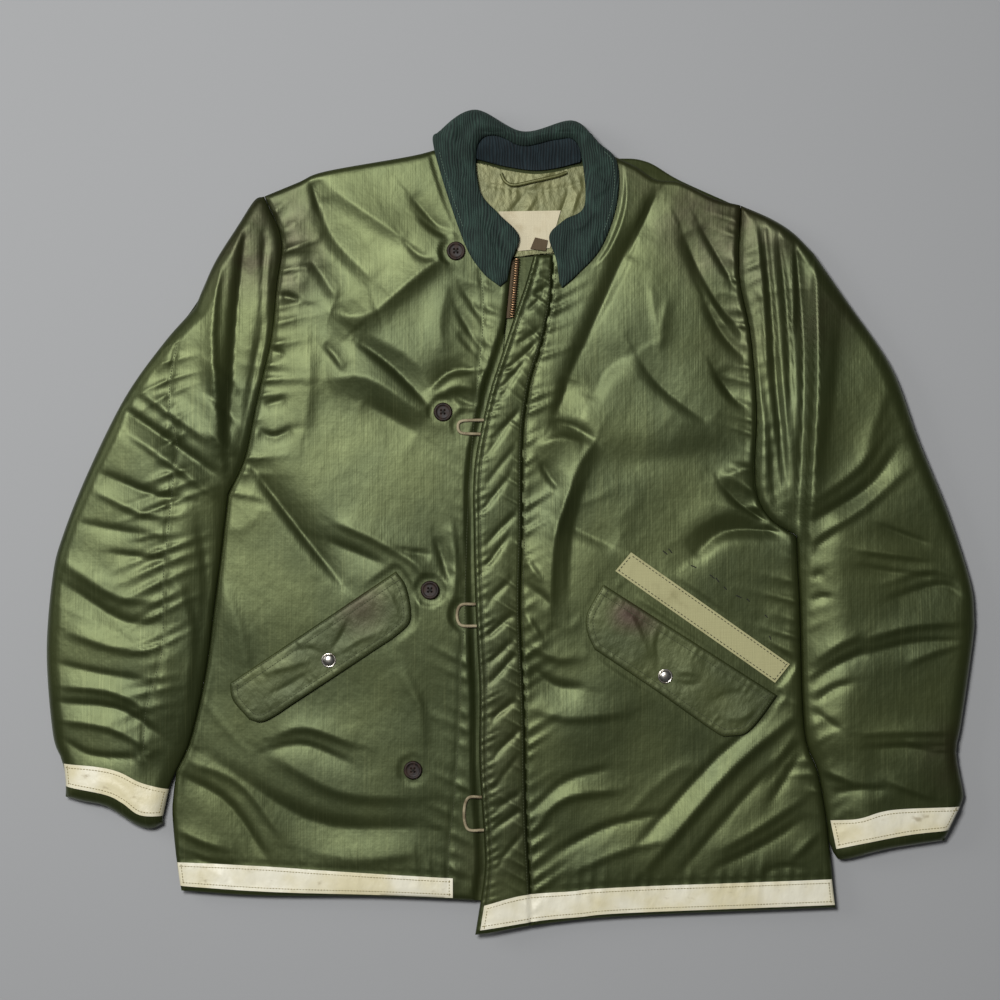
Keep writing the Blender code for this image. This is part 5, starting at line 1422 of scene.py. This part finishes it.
cord_finish = make_cord_finish()
for number, (y_start, y_end, far) in enumerate(LOOPS, 1):
    edge_x = np.interp([y_start, y_end], *zip(*sorted((y, x) for x, y in FLY_EDGE))) + 0.6
    middle = (y_start + y_end) / 2
    way = curve([(edge_x[0], y_start), (far + 4, y_start - 1), (far, middle), (far + 4, y_end + 1),
                 (edge_x[1], y_end)], np.linspace(0, 1, 48))
    rise = 16.3 + 0.6 * np.sin(np.linspace(0, np.pi, 48))
    make_piece(f"cord_loop_{number}", cord_shape(np.column_stack([way, rise]), 1.5), cord_finish,
               [f"loop_{number}"])


# The sewing: rows of lock stitches along seams and edges, in olive thread on the satin, grey-green on the
# collar, pale on the cream tapes and dark on the khaki one. Each stitch is a small bar laid on the cloth.
thread_olive = Finish("olive_thread", Roughness=0.7, Base_Color=paint(62, 68, 38)).material
thread_pale = Finish("pale_thread", Roughness=0.7, Base_Color=paint(150, 138, 96)).material
thread_collar = Finish("collar_thread", Roughness=0.7, Base_Color=paint(78, 98, 84)).material


def stitch_rows(name, rows, finish, pitch=3.0, long=2.3, wide=0.75):
    """Stitches along rows: each row is a line and the height of what it is sewn to."""
    centres, ways = [], []
    for line, height in rows:
        span = np.hypot(*np.diff(line, axis=0).T)
        reach = np.concatenate([[0], np.cumsum(span)])
        at = np.arange(pitch, reach[-1], pitch)
        ends = [np.column_stack([np.interp(at + d, reach, line[:, k]) for k in (0, 1)])
                for d in (-long / 2, long / 2)]
        first, last = (np.column_stack([e, height(e)]) for e in ends)
        centres.append((first + last) / 2 + (0, 0, 0.15))
        ways.append(last - first)
    return make_piece(name, blocks(np.vstack(centres), np.vstack(ways), (long, wide, 0.6)), finish)


def closed(loop):
    """A loop with its first point again at its end."""
    return np.vstack([loop, loop[:1]])


def shifted(points, dx):
    """A line through the points, moved to the wearer's left."""
    return even(points, 3) + (dx, 0.0)


def raised(height, gap):
    """The top of a tape: a gap over the height of what it is sewn to."""
    return lambda points: height(points) + gap


# How far in from an edge each row runs, and where the collar's roll behind the neck starts
FLAP_ROW = 2.2
COLLAR_ROW = 4.5
TAPE_ROW = 3.6
NAME_ROW = 2.4
ROLL_START = 375


stitch_rows("stitches_front_right", [(even(ROW_RIGHT, 3), front_right_height)], thread_olive)
stitch_rows("stitches_fly", [
    (shifted(FLY_EDGE, FLY_ROWS[0])[4:-6], fly_height),
    (shifted(FLY_EDGE, FLY_ROWS[1] + 0.4)[4:-6], fly_height),
    (shifted(FLY_SEAM, -2.5)[4:-4], fly_height), (shifted(FLY_SEAM, 3.0)[3:-12], front_left_height)],
    thread_olive)
stitch_rows("stitches_sleeve_right", [(even(ELBOW_SEAM, 3), sleeve_right_height)], thread_olive)
for place, flap, height in (("right", flap_right, flap_right_height), ("left", flap_left, flap_left_height)):
    stitch_rows(f"stitches_flap_{place}", [
        (closed(rim_row(flap)), height), (closed(inset(rim_loop(flap), FLAP_ROW)), height)],
        thread_olive)
collar_row = inset(collar_loop, COLLAR_ROW)
collar_row = collar_row[collar_row[:, 1] < ROLL_START]
left_row = collar_row[collar_row[:, 0] > 92]
right_row = collar_row[collar_row[:, 0] < -46]
stitch_rows("stitches_collar", [(left_row, collar_height), (right_row, collar_height)], thread_collar)
for number, (grid, height) in enumerate(tapes, 1):
    stitch_rows(f"stitches_tape_{number}", [(closed(inset(rim_loop(grid), TAPE_ROW)),
                raised(height, 0.65 + TAPE_THICK))], thread_pale)
stitch_rows("stitches_name_tape", [(closed(inset(rim_loop(name_tape), NAME_ROW)),
            raised(front_left_height, LAY_GAP + TAPE_THICK))], thread_dark, 4.0, 2.6)


# Ends of cut thread, left in the left front over the khaki tape where something was once sewn on. Each is one
# or two dark stitches at a place given in the list.
REMNANTS = [((152, -28), (158, -33)), ((158, -26), (162, -31)), ((180, -43), (187, -46)),
            ((199, -52), (205, -57)), ((205, -55), (209, -60)), ((213, -64), (217, -68)),
            ((225, -73), (232, -76)), ((236, -76), (240, -80)), ((254, -92), (258, -96)),
            ((259, -113), (261, -118))]
stitch_rows("thread_ends", [(even(mark, 1.5), front_left_height) for mark in REMNANTS], thread_dark,
            2.0, 2.4, 1.1)
